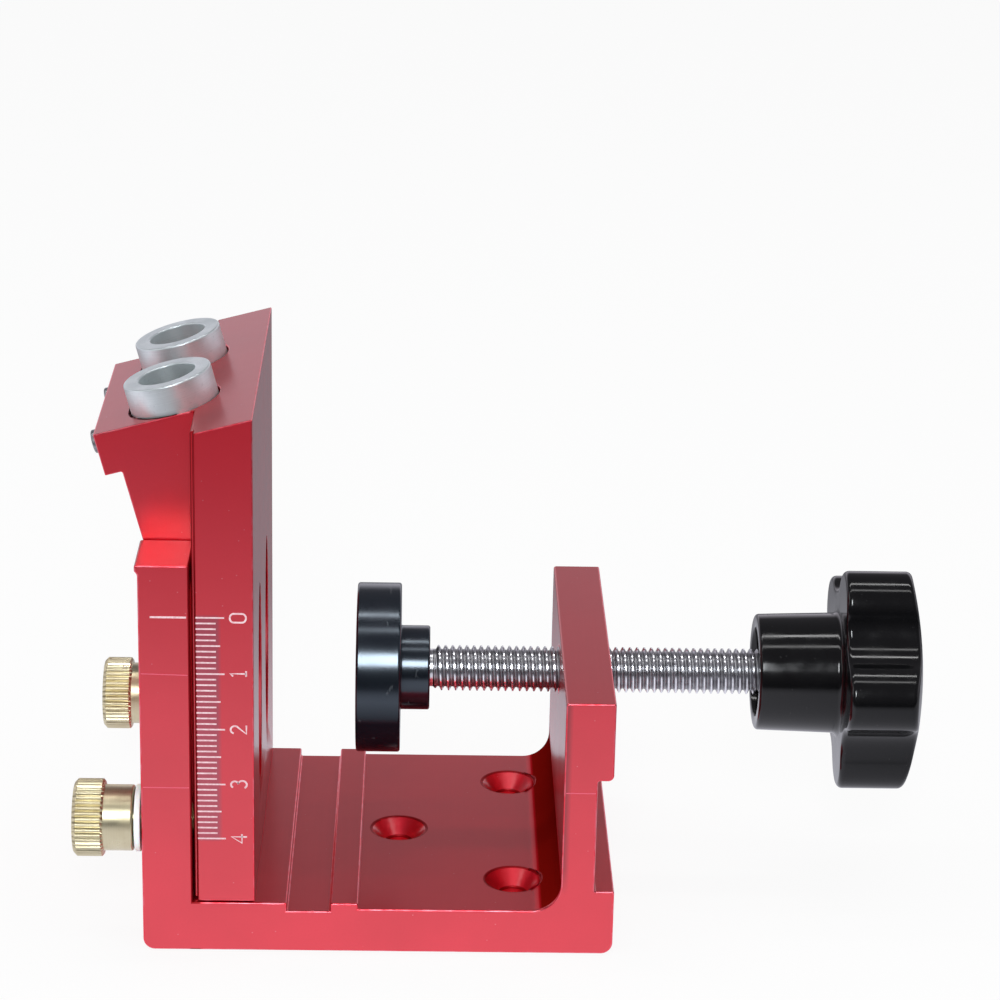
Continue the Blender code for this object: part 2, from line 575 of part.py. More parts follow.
def main():
    for old in list(bpy.data.objects):
        bpy.data.objects.remove(old, do_unlink=True)

    red = material("red_anodised", (0.55, 0.03, 0.05), 0.35, 0.7)
    steel = material("ground_steel", (0.42, 0.43, 0.44), 0.3, 1.0)
    dark_steel = material("blackened_steel", (0.05, 0.05, 0.06), 0.4, 0.9)
    zinc = material("zinc_steel", (0.5, 0.5, 0.52), 0.25, 1.0)
    brass = material("brass", (0.78, 0.65, 0.38), 0.25, 1.0)
    nylon = material("white_nylon", (0.85, 0.85, 0.83), 0.5, 0.0)
    black_metal = material("black_anodised", (0.02, 0.022, 0.03), 0.3, 0.6)
    phenolic = material("black_phenolic", (0.012, 0.012, 0.013), 0.15, 0.0)

    make_base_frame(red)
    drill_axes = [drill_axis_frame(side, sign) for side, sign in SIDES]
    make_guide_block(red, drill_axes)
    for (side, sign), drill_axis in zip(SIDES, drill_axes):
        make_drill_bush(side, drill_axis, steel)
        make_set_screw(side, drill_axis, dark_steel)
        screw_axis = empty(side + "_thumb_screw_axis", (LEFT, sign * THUMB_SCREW_OFFSET, THUMB_SCREW_HEIGHT),
                           (0.0, -math.pi / 2, 0.0))
        make_nylon_washer(side, screw_axis, nylon)
        make_thumb_screw(side, screw_axis, brass)

    clamp_axis = empty("clamp_axis", (PAD_FACE, 0.0, CLAMP_HEIGHT), (0.0, math.pi / 2, 0.0))
    make_pressure_pad(clamp_axis, black_metal)
    make_thrust_disc(clamp_axis, steel)
    make_retaining_ring(clamp_axis, dark_steel)
    make_clamp_screw(clamp_axis, zinc)
    make_wheel_insert(clamp_axis, brass)
    make_handwheel(clamp_axis, phenolic)


main()
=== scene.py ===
"""Looks of the pocket hole jig: fine shapes, finishes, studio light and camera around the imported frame.

Metres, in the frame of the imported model: X along the clamp screw, Z up, the scale on the -Y side.
New surfaces are whole numpy arrays: a grid of two parameters, or a profile carried along a path.
Each function gives its formula in words.
"""
import math

import bmesh
import bpy
import numpy as np
from mathutils import Matrix, Vector


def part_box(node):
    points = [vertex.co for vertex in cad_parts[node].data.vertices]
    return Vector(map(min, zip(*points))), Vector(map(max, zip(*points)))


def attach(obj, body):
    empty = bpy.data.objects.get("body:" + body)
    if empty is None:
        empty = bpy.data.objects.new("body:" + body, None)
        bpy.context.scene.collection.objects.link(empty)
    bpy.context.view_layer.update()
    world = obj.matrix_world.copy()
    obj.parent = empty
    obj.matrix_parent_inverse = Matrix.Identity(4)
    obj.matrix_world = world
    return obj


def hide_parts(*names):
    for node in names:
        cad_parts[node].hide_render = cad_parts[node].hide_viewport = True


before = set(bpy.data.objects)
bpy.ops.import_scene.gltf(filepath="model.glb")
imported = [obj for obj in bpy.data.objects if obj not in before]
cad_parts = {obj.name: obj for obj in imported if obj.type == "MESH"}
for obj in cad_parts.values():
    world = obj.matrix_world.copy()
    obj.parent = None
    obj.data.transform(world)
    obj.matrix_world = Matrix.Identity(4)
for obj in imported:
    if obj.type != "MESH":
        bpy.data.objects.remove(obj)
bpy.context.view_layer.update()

MM = 0.001
TURN = 2 * math.pi

# Sizes shared by several pieces, in metres, and the screw holes' places in millimetres
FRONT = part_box("base_frame")[0].y
REAR = -FRONT
LEFT = -40.0 * MM
COLUMN_FACE = -31.54 * MM
WORK_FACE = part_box("guide_block")[1].x
POST_FACE = 30.9 * MM
DRILL_ANGLE = math.radians(15.0)
DRILL_EXIT = 39.05 * MM
DRILL_TOP = 54.4 * MM
BUSH_Y = 11.5 * MM
THUMB_Y = 26.75 * MM
THUMB_Z = 22.15 * MM
PAD_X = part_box("pressure_pad")[0].x
CLAMP_Z = 39.2 * MM
SIDES = (("front", -1), ("rear", 1))
SCREW_HOLES = ((3.1, 0.0), (23.1, -20.0), (23.1, 20.0))


# Surfaces

def rounded(corners, step=6.0):
    """Outline through (a, b, radius) corners in millimetres. A corner with a radius becomes an arc
    tangent to both its sides: centre + start cos t + normal sin t, t from 0 to the turn."""
    corners = np.asarray(corners, float) * MM
    places, radii = corners[:, :2], corners[:, 2]
    to_back = np.roll(places, 1, 0) - places
    to_next = np.roll(places, -1, 0) - places
    to_back /= np.linalg.norm(to_back, axis=1, keepdims=True)
    to_next /= np.linalg.norm(to_next, axis=1, keepdims=True)
    parts = []
    for place, radius, back, ahead in zip(places, radii, to_back, to_next):
        if radius == 0:
            parts.append(place[None])
            continue
        half = math.acos(np.clip(back @ ahead, -1, 1)) / 2
        centre = place + (back + ahead) / np.linalg.norm(back + ahead) * radius / math.sin(half)
        start = place + back * radius / math.tan(half) - centre
        end = place + ahead * radius / math.tan(half) - centre
        sweep = math.atan2(start[0] * end[1] - start[1] * end[0], start @ end)
        count = max(3, math.ceil(abs(math.degrees(sweep)) / step) + 1)
        angle = np.linspace(0, sweep, count)[:, None]
        parts.append(centre + np.cos(angle) * start + np.sin(angle) * np.array((-start[1], start[0])))
    return np.concatenate(parts)


def stood(points, place, along):
    """Local points put into the part: local Z along an axis square to Y, local Y along Y."""
    along = np.array(along) / np.linalg.norm(along)
    across = np.array([0.0, 1.0, 0.0])
    axes = np.stack([np.cross(across, along), across, along])
    return points @ axes + np.array(place)


def placed(shell, place, along):
    """A local shell put into the part."""
    points, faces, values = shell
    return stood(points, place, along), faces, values


def closed(profile):
    """A profile that ends where it starts."""
    return np.concatenate([profile, profile[:1]])


def quads(rows, columns, wrap=True):
    """Corner indices of the faces of a grid; its columns may close on themselves."""
    steps = columns if wrap else columns - 1
    row, column = np.meshgrid(np.arange(rows - 1), np.arange(steps), indexing="ij")
    after = (column + 1) % columns
    first, second = row * columns, (row + 1) * columns
    return np.stack([first + column, first + after, second + after, second + column], -1).reshape(-1, 4)


def join(*shells):
    """Several (points, faces, values) shells as one."""
    shift, faces = 0, []
    for points, own, _ in shells:
        faces += [np.asarray(face) + shift for face in own]
        shift += len(points)
    points, values = (np.concatenate([shell[kind] for shell in shells]) for kind in (0, 2))
    return points, faces, values


def run_of(profile):
    """Length along a profile from its first point."""
    steps = np.linalg.norm(np.diff(profile, axis=0), axis=1)
    return np.concatenate([[0.0], np.cumsum(steps)])


def turned(profile, sides=96, reach=None):
    """A (radius, height) profile carried round local Z: (r cos a, r sin a, h). reach, where given,
    changes r row by row and angle by angle. The value kept at each point is its run along the profile."""
    profile = np.asarray(profile, float)
    angle = np.linspace(0, TURN, sides, endpoint=False)
    radius = np.repeat(profile[:, :1], sides, 1)
    if reach is not None:
        radius = reach(radius, angle)
    height = np.repeat(profile[:, 1:], sides, 1)
    grid = np.stack([radius * np.cos(angle), radius * np.sin(angle), height], -1)
    return grid.reshape(-1, 3), quads(len(profile), sides), np.repeat(run_of(profile), sides)


ROW_SHARES = np.array([0.0, 0.09, 0.18, 0.28, 0.37, 0.42, 0.5, 0.58, 0.63, 0.72, 0.82, 0.91])
CREST_SHARE, FLANK_SHARE, ROOT_SHARE, ROOT_RISE = 0.09, 0.28, 0.3, 0.9


def threaded(*sizes, sides):
    """A screw thread about local Z, sizes in millimetres. Rows follow the helix, z = row + pitch a / turn,
    held between the ends. With the distance from the crest line in pitches, the radius keeps the crest,
    falls along the flank and is a parabola in the root; towards both ends it fades to the root. The value
    kept at each point is its depth below the crest, as a share."""
    start, end, crest, depth, pitch, fade = (size * MM for size in sizes)
    turns = np.arange(math.floor(start / pitch) - 1, math.ceil(end / pitch) + 1)
    rows = ((turns[:, None] + ROW_SHARES) * pitch).reshape(-1, 1)
    angle = np.linspace(0, TURN, sides + 1)[None]
    height = np.clip(rows + pitch * angle / TURN, start, end)
    off = (height - pitch * angle / TURN) / pitch % 1.0
    off = np.minimum(off, 1.0 - off)
    fall = np.clip((off - CREST_SHARE) / FLANK_SHARE, 0, 1)
    fall = np.where(off > ROOT_SHARE, 1.0 - ROOT_RISE * (1.0 - 2.0 * off) ** 2, fall)
    ends = np.clip(np.minimum(height - start, end - height) / fade, 0, 1)
    low = 1.0 - (1.0 - fall) * ends
    radius = crest - depth * low
    grid = np.stack([radius * np.cos(angle), radius * np.sin(angle), height], -1)
    poles = [np.broadcast_to(np.array([0.0, 0.0, z]), (1, sides + 1, 3)) for z in (start, end)]
    low = np.concatenate([low[:1], low, low[-1:]])
    grid = np.concatenate([poles[0], grid, poles[1]])
    return grid.reshape(-1, 3), quads(len(grid), sides + 1, wrap=False), low.ravel()


def prism(outline, near, far):
    """An outline in X and Z carried along Y: points (x, near, z) and (x, far, z), and a face at each end."""
    count = len(outline)
    ends = [np.insert(outline, 1, y, axis=1) for y in (near, far)]
    sides = quads(2, count)
    faces = [*sides, np.arange(count)[::-1], np.arange(count) + count]
    return np.concatenate(ends), faces, np.zeros(2 * count)


def box(low, high):
    """A box between two corners in millimetres."""
    low, high = np.array(low) * MM, np.array(high) * MM
    outline = np.array([(low[0], low[2]), (high[0], low[2]), (high[0], high[2]), (low[0], high[2])])
    return prism(outline, low[1], high[1])


def ribbons(strokes, width, face, proud):
    """Flat strokes on the -Y side. Each path of (x, z) points in millimetres is widened by half the width
    to both sides, square to its mean direction at each point, and given a small height."""
    shells = []
    for stroke in strokes:
        path = np.asarray(stroke, float) * MM
        step = np.diff(path, axis=0)
        step /= np.linalg.norm(step, axis=1, keepdims=True)
        lead = np.concatenate([step[:1], step[:-1] + step[1:], step[-1:]])
        lead /= np.linalg.norm(lead, axis=1, keepdims=True)
        side = np.stack([-lead[:, 1], lead[:, 0]], 1) * width / 2
        edges = [path + side, path - side, path - side, path + side]
        depths = [face - proud, face - proud, face + proud, face + proud]
        grid = np.stack([np.insert(edge, 1, depth, axis=1) for edge, depth in zip(edges, depths)], 1)
        last = 4 * (len(path) - 1)
        faces = [*quads(len(path), 4), np.array([3, 2, 1, 0]), np.array([0, 1, 2, 3]) + last]
        shells.append((grid.reshape(-1, 3), faces, np.zeros(4 * len(path))))
    return join(*shells)


def linked(name, data):
    """A new object in the scene."""
    made = bpy.data.objects.new(name, data)
    bpy.context.scene.collection.objects.link(made)
    return made


MERGE_DISTANCE, CUT_MERGE_DISTANCE = 0.0005 * MM, 0.001 * MM
FLAT_ANGLE = math.radians(0.5)


def mesh_of(name, shell):
    """A mesh from a shell, its equal points merged and its faces outwards; the values become "run"."""
    points, faces, values = shell
    mesh = bpy.data.meshes.new(name)
    mesh.from_pydata(points, [], [list(map(int, face)) for face in faces])
    mesh.attributes.new("run", "FLOAT", "POINT").data.foreach_set("value", values.astype(np.float32))
    work = bmesh.new()
    work.from_mesh(mesh)
    bmesh.ops.remove_doubles(work, verts=work.verts, dist=MERGE_DISTANCE)
    bmesh.ops.recalc_face_normals(work, faces=work.faces)
    work.to_mesh(mesh)
    work.free()
    return mesh


def carved(name, shell, cutters):
    """A mesh with cutters taken away from it one after another."""
    target = linked(name, mesh_of(name, shell))
    tools = [linked("cutter", mesh_of("cutter", cutter)) for cutter in cutters]
    for tool in tools:
        step = target.modifiers.new("cut", "BOOLEAN")
        step.operation, step.solver, step.object = "DIFFERENCE", "EXACT", tool
    mesh = bpy.data.meshes.new_from_object(target.evaluated_get(bpy.context.evaluated_depsgraph_get()))
    for thing in (target, *tools):
        bpy.data.objects.remove(thing)
    work = bmesh.new()
    work.from_mesh(mesh)
    bmesh.ops.remove_doubles(work, verts=work.verts, dist=CUT_MERGE_DISTANCE)
    bmesh.ops.dissolve_limit(work, angle_limit=FLAT_ANGLE, verts=work.verts, edges=work.edges)
    work.to_mesh(mesh)
    work.free()
    return mesh


def piece(name, mesh, finishes, body, nodes=(), edge=0.0, sharp=32.0):
    """One piece of the jig: it rides on a body, takes the finishes it is given and stands for CAD nodes.
    edge is the width of the small bevel that catches the light along its edges."""
    made = linked(name, mesh)
    for finish in finishes:
        mesh.materials.append(finish)
    mesh.shade_smooth()
    if edge:
        bevel = made.modifiers.new("edges", "BEVEL")
        bevel.width, bevel.segments, bevel.angle_limit = edge, 2, math.radians(sharp)
        bevel.limit_method, bevel.use_clamp_overlap, bevel.harden_normals = "ANGLE", False, True
        bevel.material = len(finishes) - 1
    else:
        mesh.set_sharp_from_angle(angle=math.radians(sharp))
        flat = made.modifiers.new("flat faces", "WEIGHTED_NORMAL")
        flat.keep_sharp = True
    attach(made, body)
    if nodes:
        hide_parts(*nodes)


def shell_piece(name, shell, finish, body, nodes=(), sharp=32.0):
    """A piece of one finish, from a shell."""
    piece(name, mesh_of(name, shell), [finish], body, nodes, sharp=sharp)


# Finishes

def material(name, colour, metallic, roughness, **sockets):
    """A Principled material. Values that are the same all over stand on the shader's own sockets."""
    made = bpy.data.materials.new(name)
    made.use_nodes = True
    shader = made.node_tree.nodes["Principled BSDF"]
    values = {"Base Color": (*colour, 1.0), "Metallic": metallic, "Roughness": roughness}
    values.update({key.replace("_", " "): value for key, value in sockets.items()})
    for socket, value in values.items():
        shader.inputs[socket].default_value = value
    return made, made.node_tree, shader


def feed(tree, shader, **sockets):
    """Outputs linked to a shader's sockets; an underscore stands for a space in a socket's name."""
    for key, value in sockets.items():
        tree.links.new(value, shader.inputs[key.replace("_", " ")])


def node(tree, kind, inputs=None, **settings):
    """A node with its settings; an input is a value or another node's output."""
    made = tree.nodes.new("ShaderNode" + kind)
    for key, value in settings.items():
        setattr(made, key, value)
    for socket, value in (inputs or {}).items():
        if isinstance(value, bpy.types.NodeSocket):
            tree.links.new(value, made.inputs[socket])
        else:
            made.inputs[socket].default_value = value
    return made


def place_of(tree):
    """Object coordinates, in metres."""
    return node(tree, "TexCoord").outputs["Object"]


def axes_of(tree):
    """The three Object coordinates one by one."""
    return node(tree, "SeparateXYZ", {"Vector": place_of(tree)}).outputs


def grain(tree, scale, stretch=(1.0, 1.0, 1.0), detail=2.0, turn=(0.0, 0.0, 0.0)):
    """Noise in the part's own space, scale per metre, drawn out along the axes with a small stretch."""
    put = node(tree, "Mapping", {"Vector": place_of(tree), "Scale": stretch, "Rotation": turn})
    return node(tree, "TexNoise", {"Vector": put.outputs[0], "Scale": scale, "Detail": detail}).outputs[0]


def specks(tree, per_metre, radius):
    """Small round specks: a share that falls softly to 0 away from scattered points."""
    put = node(tree, "TexVoronoi", {"Vector": place_of(tree), "Scale": per_metre, "Randomness": 1.0})
    reach = radius * per_metre
    return between(tree, put.outputs["Distance"], 0.6 * reach, 1.2 * reach, 0.7, 0.0)


def turning_marks(tree, scale):
    """Noise along the profile of a turned piece, the same all round: fine tool marks."""
    run = node(tree, "Attribute", attribute_name="run").outputs["Fac"]
    inputs = {"W": run, "Scale": scale, "Detail": 3.0}
    return node(tree, "TexNoise", inputs, noise_dimensions="1D").outputs[0]


def between(tree, value, low, high, to_low=0.0, to_high=1.0):
    """A value mapped from one range to another and held inside it."""
    inputs = {"Value": value, "From Min": low, "From Max": high, "To Min": to_low, "To Max": to_high}
    return node(tree, "MapRange", inputs).outputs[0]


def mixed(tree, share, first, second):
    """Two colours mixed by a share."""
    first, second = ((*value, 1.0) if isinstance(value, tuple) else value for value in (first, second))
    return node(tree, "Mix", {0: share, 6: first, 7: second}, data_type="RGBA").outputs[2]


def blended(tree, share, first, second):
    """Two numbers mixed by a share."""
    return node(tree, "Mix", {0: share, 2: first, 3: second}, data_type="FLOAT").outputs[0]


def math_node(tree, operation, *values):
    """One arithmetic step on values or outputs."""
    return node(tree, "Math", dict(enumerate(values)), operation=operation).outputs[0]


def all_of(tree, *shares):
    """Shares multiplied together."""
    product = shares[0]
    for share in shares[1:]:
        product = math_node(tree, "MULTIPLY", product, share)
    return product


def band(tree, value, rise, fall):
    """A share that grows over one range of the value and shrinks over a later one, in millimetres."""
    return all_of(tree, between(tree, value, rise[0] * MM, rise[1] * MM),
                  between(tree, value, fall[0] * MM, fall[1] * MM, 1.0, 0.0))


def behind_front(tree, depth, start, end, *shares):
    """A share that changes between two depths behind the front faces, in millimetres."""
    return between(tree, depth, FRONT + start * MM, FRONT + end * MM, *shares)


def relief(tree, shader, layers):
    """Bump from (height, strength, distance) layers, one on the other."""
    normal = None
    for height, strength, distance in layers:
        inputs = {"Height": height, "Strength": strength, "Distance": distance}
        if normal:
            inputs["Normal"] = normal
        normal = node(tree, "Bump", inputs).outputs[0]
    tree.links.new(normal, shader.inputs["Normal"])


RED = (0.86, 0.018, 0.042)
RED_DEEP = (0.75, 0.012, 0.030)
# Paler red of worn specks and of the edges; on the edges it is also a painted highlight
RED_WEAR_AND_HIGHLIGHT = (0.88, 0.17, 0.22)
PALE, PALE_LIGHT, PALE_DARK = (0.80, 0.52, 0.56), (0.90, 0.66, 0.70), (0.78, 0.42, 0.47)
# CORNER_PAINTED_SHADE and BESIDE_PAINTED_SHADE are painted shade on the floor's round corner and on a strip
# of the post beside it
TICK_SHADE, CORNER_PAINTED_SHADE, BESIDE_PAINTED_SHADE = (0.30, 0.07, 0.12), (0.15, 0.003, 0.001), (0.22, 0.004, 0.010)
# RIM_PAINTED_SHADE is painted shade on the screw holes' rims and on the edges beside the joint line
RIM_PAINTED_SHADE, RIM_REACH = (0.40, 0.010, 0.016), 5.6 * MM
METAL_SHARE, COAT, LEVEL = 0.92, 1.0, 0.5
# ROOT_SHADE_AND_PATCH_DARK is painted shade in the thread's roots and the colour of darker patches
ZINC, ROOT_SHADE_AND_PATCH_DARK = (0.84, 0.84, 0.87), (0.12, 0.12, 0.13)
PAD_BLACK, PAD_SCRATCH = (0.004, 0.006, 0.010), (0.10, 0.11, 0.12)
PHENOLIC, DUST = (0.0035, 0.0035, 0.004), (0.12, 0.12, 0.12)
NYLON, NYLON_LIGHT, NYLON_DARK = (0.86, 0.86, 0.83), (0.98, 1.0, 1.0), (0.93, 0.96, 0.95)


def anodised_red(name, marked=False, corner=False):
    """Satin red anodised aluminium: a dyed metal under a clear oxide skin. Blast texture, faint lines along
    the extrusion, cloudy dye and a few rubbed specks. marked darkens the dye behind the scale's marks;
    corner paints shade on the floor's round corner and makes it dull, and paints shade on a strip of the
    post beside it."""
    made, tree, shader = material(name, RED, METAL_SHARE, 0.44, Coat_Weight=COAT, Coat_Roughness=0.24,
                                  Coat_IOR=1.75, Specular_Tint=(0.05, 0.03, 0.06, 1.0))
    clouds = grain(tree, 55.0, detail=3.0)
    lines = grain(tree, 2600.0, (1.0, 0.012, 1.0))
    blast = grain(tree, 5200.0)
    colour = mixed(tree, between(tree, clouds, 0.35, 0.7, 0.0, 0.55), RED, RED_DEEP)
    colour = mixed(tree, between(tree, lines, 0.3, 0.75, 0.0, 0.18), colour, RED_DEEP)
    colour = mixed(tree, specks(tree, 360.0, 0.12 * MM), colour, RED_WEAR_AND_HIGHLIGHT)
    across, depth, up = axes_of(tree)
    if marked:
        shade = all_of(tree, band(tree, across, (-30.9, -30.4), (-27.0, -26.3)),
                       band(tree, up, (20.4, 20.9), (61.1, 61.6)),
                       behind_front(tree, depth, 0.05, 0.2, 1.0, 0.0))
        colour = mixed(tree, all_of(tree, shade, 0.55), colour, TICK_SHADE)
    # Painted shade: the floor's round corner and a strip of the post beside it are painted darker
    if corner:
        round_part = all_of(tree, band(tree, across, (26.6, 28.0), (30.95, 31.1)),
                            between(tree, up, 12.6 * MM, 15.0 * MM, 1.0, 0.0),
                            behind_front(tree, depth, 0.3, 0.6))
        colour = mixed(tree, between(tree, round_part, 0.1, 0.9, 0.0, 0.97), colour, CORNER_PAINTED_SHADE)
        beside = all_of(tree, band(tree, across, (30.7, 30.8), (31.3, 32.2)),
                        between(tree, up, 11.0 * MM, 16.0 * MM),
                        behind_front(tree, depth, 0.1, 0.3, 1.0, 0.0))
        colour = mixed(tree, all_of(tree, beside, 0.7), colour, BESIDE_PAINTED_SHADE)
        coat, metal, level = (between(tree, round_part, 0.0, 0.6, full, 0.0)
                              for full in (COAT, METAL_SHARE, LEVEL))
        feed(tree, shader, Coat_Weight=coat, Metallic=metal, Specular_IOR_Level=level)
    feed(tree, shader, Base_Color=colour, Roughness=between(tree, clouds, 0.3, 0.7, 0.41, 0.50))
    relief(tree, shader, [(blast, 0.14, 0.012 * MM), (lines, 0.10, 0.010 * MM)])
    return made


def worn_highlit_edge(name):
    """The thin edges of the red pieces, painted paler in patches: partly wear, partly a painted highlight
    along the edges. The rims of the screw holes and the edges beside the scale's joint line are painted
    darker instead: painted shade."""
    made, tree, shader = material(name, RED_WEAR_AND_HIGHLIGHT, 1.0, 0.30, Coat_Roughness=0.2, Coat_IOR=1.6)
    patches = grain(tree, 420.0, detail=4.0)
    across, depth, _ = axes_of(tree)
    # Painted shade: the edges beside the joint line and round the screw holes are painted darker
    kept = band(tree, across, (-32.2, -31.8), (-30.4, -30.0))
    for x, y in SCREW_HOLES:
        east, north = (math_node(tree, "POWER", math_node(tree, "SUBTRACT", place, centre * MM), 2.0)
                       for place, centre in ((across, x), (depth, y)))
        near = math_node(tree, "LESS_THAN", math_node(tree, "ADD", east, north), RIM_REACH ** 2)
        kept = math_node(tree, "MAXIMUM", kept, near)
    # Painted highlight and wear: the edges are paler red in patches
    colour = mixed(tree, between(tree, patches, 0.42, 0.62, 0.15, 0.75), RED, RED_WEAR_AND_HIGHLIGHT)
    colour = mixed(tree, kept, colour, RIM_PAINTED_SHADE)
    feed(tree, shader, Base_Color=colour, Coat_Weight=between(tree, kept, 0.0, 1.0, 0.5, 0.04),
         Roughness=between(tree, kept, 0.0, 1.0, 0.30, 0.55))
    relief(tree, shader, [(grain(tree, 3000.0), 0.2, 0.01 * MM)])
    return made


def pale_marking(name):
    """Laser-marked strokes: the dye burnt out to a matt pink-white."""
    made, tree, shader = material(name, PALE, 0.0, 0.62)
    patches = grain(tree, 2200.0, detail=3.0)
    colour = mixed(tree, between(tree, patches, 0.35, 0.7), PALE_LIGHT, PALE_DARK)
    feed(tree, shader, Base_Color=colour)
    relief(tree, shader, [(patches, 0.4, 0.02 * MM)])
    return made


def turned_metal(name, light, dark, roughness, bump=0.22, metallic=1.0, pitted=0.45):
    """A bare turned or ground metal: marks that run round it, cloudy patches and small dull pits."""
    made, tree, shader = material(name, light, metallic, roughness)
    rings = turning_marks(tree, 5200.0)
    clouds = grain(tree, 260.0, detail=3.0)
    pits = between(tree, grain(tree, 1900.0, detail=3.0), 0.62, 0.72)
    colour = mixed(tree, between(tree, clouds, 0.35, 0.7, 0.0, 0.6), light, dark)
    colour = mixed(tree, between(tree, rings, 0.3, 0.7, 0.0, 0.35), colour, dark)
    pit = tuple(0.5 * part for part in dark)
    colour = mixed(tree, all_of(tree, pits, pitted), colour, pit)
    feed(tree, shader, Base_Color=colour,
         Roughness=between(tree, clouds, 0.3, 0.7, roughness - 0.05, roughness + 0.08))
    relief(tree, shader, [(rings, bump, 0.02 * MM), (grain(tree, 3600.0), 0.7 * bump, 0.01 * MM)])
    return made


def zinc_thread(name):
    """Zinc plated thread: bright crests, roots darkened as painted shade, and darker patches; the run value
    is the depth.
    """
    made, tree, shader = material(name, ZINC, 1.0, 0.24)
    depth = node(tree, "Attribute", attribute_name="run").outputs["Fac"]
    patches = grain(tree, 900.0, detail=3.0)
    # Painted shade: the thread darkens with depth towards its roots, and in random patches
    dull = math_node(tree, "ADD", between(tree, depth, 0.2, 1.0, 0.0, 0.66),
                     between(tree, patches, 0.4, 0.7, 0.0, 0.25))
    colour = mixed(tree, dull, ZINC, ROOT_SHADE_AND_PATCH_DARK)
    feed(tree, shader, Base_Color=colour, Roughness=between(tree, depth, 0.0, 1.0, 0.2, 0.42))
    relief(tree, shader, [(patches, 0.25, 0.02 * MM)])
    return made


def black_anodised(name):
    """Black anodised turned aluminium with a cold sheen, fine turning marks and light handling marks. The
    pad never turns, and its underside is made to reflect less than its top: painted shade."""
    made, tree, shader = material(name, PAD_BLACK, 0.0, 0.22, IOR=1.55,
                                  Specular_Tint=(0.74, 0.87, 1.0, 1.0))
    rings = turning_marks(tree, 3800.0)
    scratch = between(tree, grain(tree, 900.0, (1.0, 0.06, 0.5), 2.0, (0.7, 0.3, 0.5)), 0.70, 0.74)
    colour = mixed(tree, all_of(tree, scratch, 0.35), PAD_BLACK, PAD_SCRATCH)
    # Painted shade: the specular level falls on the pad's underside, so it reflects little
    level = between(tree, axes_of(tree)[2], CLAMP_Z - 5 * MM, CLAMP_Z - 0.5 * MM, 0.06, 0.75)
    feed(tree, shader, Base_Color=colour, Specular_IOR_Level=level,
         Roughness=between(tree, grain(tree, 120.0), 0.3, 0.7, 0.17, 0.22))
    relief(tree, shader, [(rings, 0.10, 0.01 * MM), (grain(tree, 3500.0), 0.05, 0.006 * MM)])
    return made


def gloss_black(name):
    """Moulded black phenolic: glossy, with a slight flow in the skin and a little dust."""
    made, tree, shader = material(name, PHENOLIC, 0.0, 0.10, IOR=1.45)
    flow = grain(tree, 90.0, detail=1.0)
    dust = between(tree, grain(tree, 1500.0, detail=2.0), 0.72, 0.78)
    colour = mixed(tree, all_of(tree, dust, 0.25), PHENOLIC, DUST)
    cloudy = between(tree, grain(tree, 240.0, detail=3.0), 0.35, 0.7, 0.07, 0.16)
    feed(tree, shader, Base_Color=colour, Roughness=cloudy)
    relief(tree, shader, [(flow, 0.10, 0.05 * MM), (grain(tree, 1400.0), 0.05, 0.008 * MM)])
    return made


def white_nylon(name):
    """Translucent white nylon, a little uneven."""
    made, tree, shader = material(name, NYLON, 0.0, 0.42, Subsurface_Weight=0.25, Subsurface_Scale=0.8 * MM)
    patches = grain(tree, 500.0, detail=3.0)
    colour = mixed(tree, between(tree, patches, 0.35, 0.7), NYLON_LIGHT, NYLON_DARK)
    feed(tree, shader, Base_Color=colour)
    relief(tree, shader, [(turning_marks(tree, 3000.0), 0.2, 0.02 * MM), (patches, 0.15, 0.02 * MM)])
    return made


frame_red = anodised_red("frame red anodised", corner=True)
guide_red = anodised_red("guide red anodised", marked=True)
edge_red = worn_highlit_edge("worn red edge with painted highlight")
marking = pale_marking("laser marking")
scored = material("scored line", (0.95, 0.16, 0.24), 0.6, 0.5)[0]
bush_steel = turned_metal("ground bush steel", (0.76, 0.82, 0.83), (0.58, 0.64, 0.66), 0.40,
                          metallic=0.78, pitted=0.2)
brass = turned_metal("turned brass", (0.66, 0.60, 0.41), (0.56, 0.48, 0.30), 0.32, bump=0.04, pitted=0.15)
worn_steel = turned_metal("worn set screw steel", (0.42, 0.42, 0.44), (0.20, 0.20, 0.21), 0.38)
zinc = zinc_thread("zinc plated thread")
black_metal = black_anodised("black anodised")
phenolic = gloss_black("gloss phenolic")
nylon = white_nylon("white nylon")


# Base frame, sizes in millimetres

BASE_REACH, BASE_CORNER = 40.0, 2.0  # half the width along X, and the foot's corners
FLOOR_TOP, BED_TOP, GROOVE_FLOOR = 8.0, 9.0, 7.5
BED_END, GROOVE_END, GROOVE_START = -3.5, -8.2, -15.6
COLUMN_TOP = 70.0
LIP, LIP_BOTTOM, LIP_ROOT = 0.5, 68.9, 68.3  # bead along the column's outer top edge
LIP_EDGE, LIP_UNDERSIDE = 0.35, 0.45  # its roundings
FOOT_TOP, BOSS_BOTTOM, POST_TOP = 11.8, 32.3, 46.4
WEB_FACE, BOSS_FACE = 36.6, 39.3  # outer faces of the post
WEB_CORNER, BOSS_CORNER, POST_CORNER, ROOT_RADIUS = 0.4, 1.0, 0.5, 5.0
LEG_WIDTH, GATE_BOTTOM = 12.2, 30.0  # the central slot leaves a leg at each end
SLOT_REACH, SLOT_BOTTOM, SLOT_TOP = 3.3, 18.85, 65.45
SLOT_ROUND = 3.29  # just under the reach
HOLE_RADIUS, SINK_RADIUS, SINK_BOTTOM = 2.25, 4.9, 5.35
TAPPED_RADIUS, TAPPED_END = 4.3, 12.0  # the clamp screw's hole
SLOT_CUT, GATE_CUT = (-43.0, -29.0), (-45.0, -29.0)  # along X
OVERRUN, SINK_OVERRUN = 2.0, 2.5


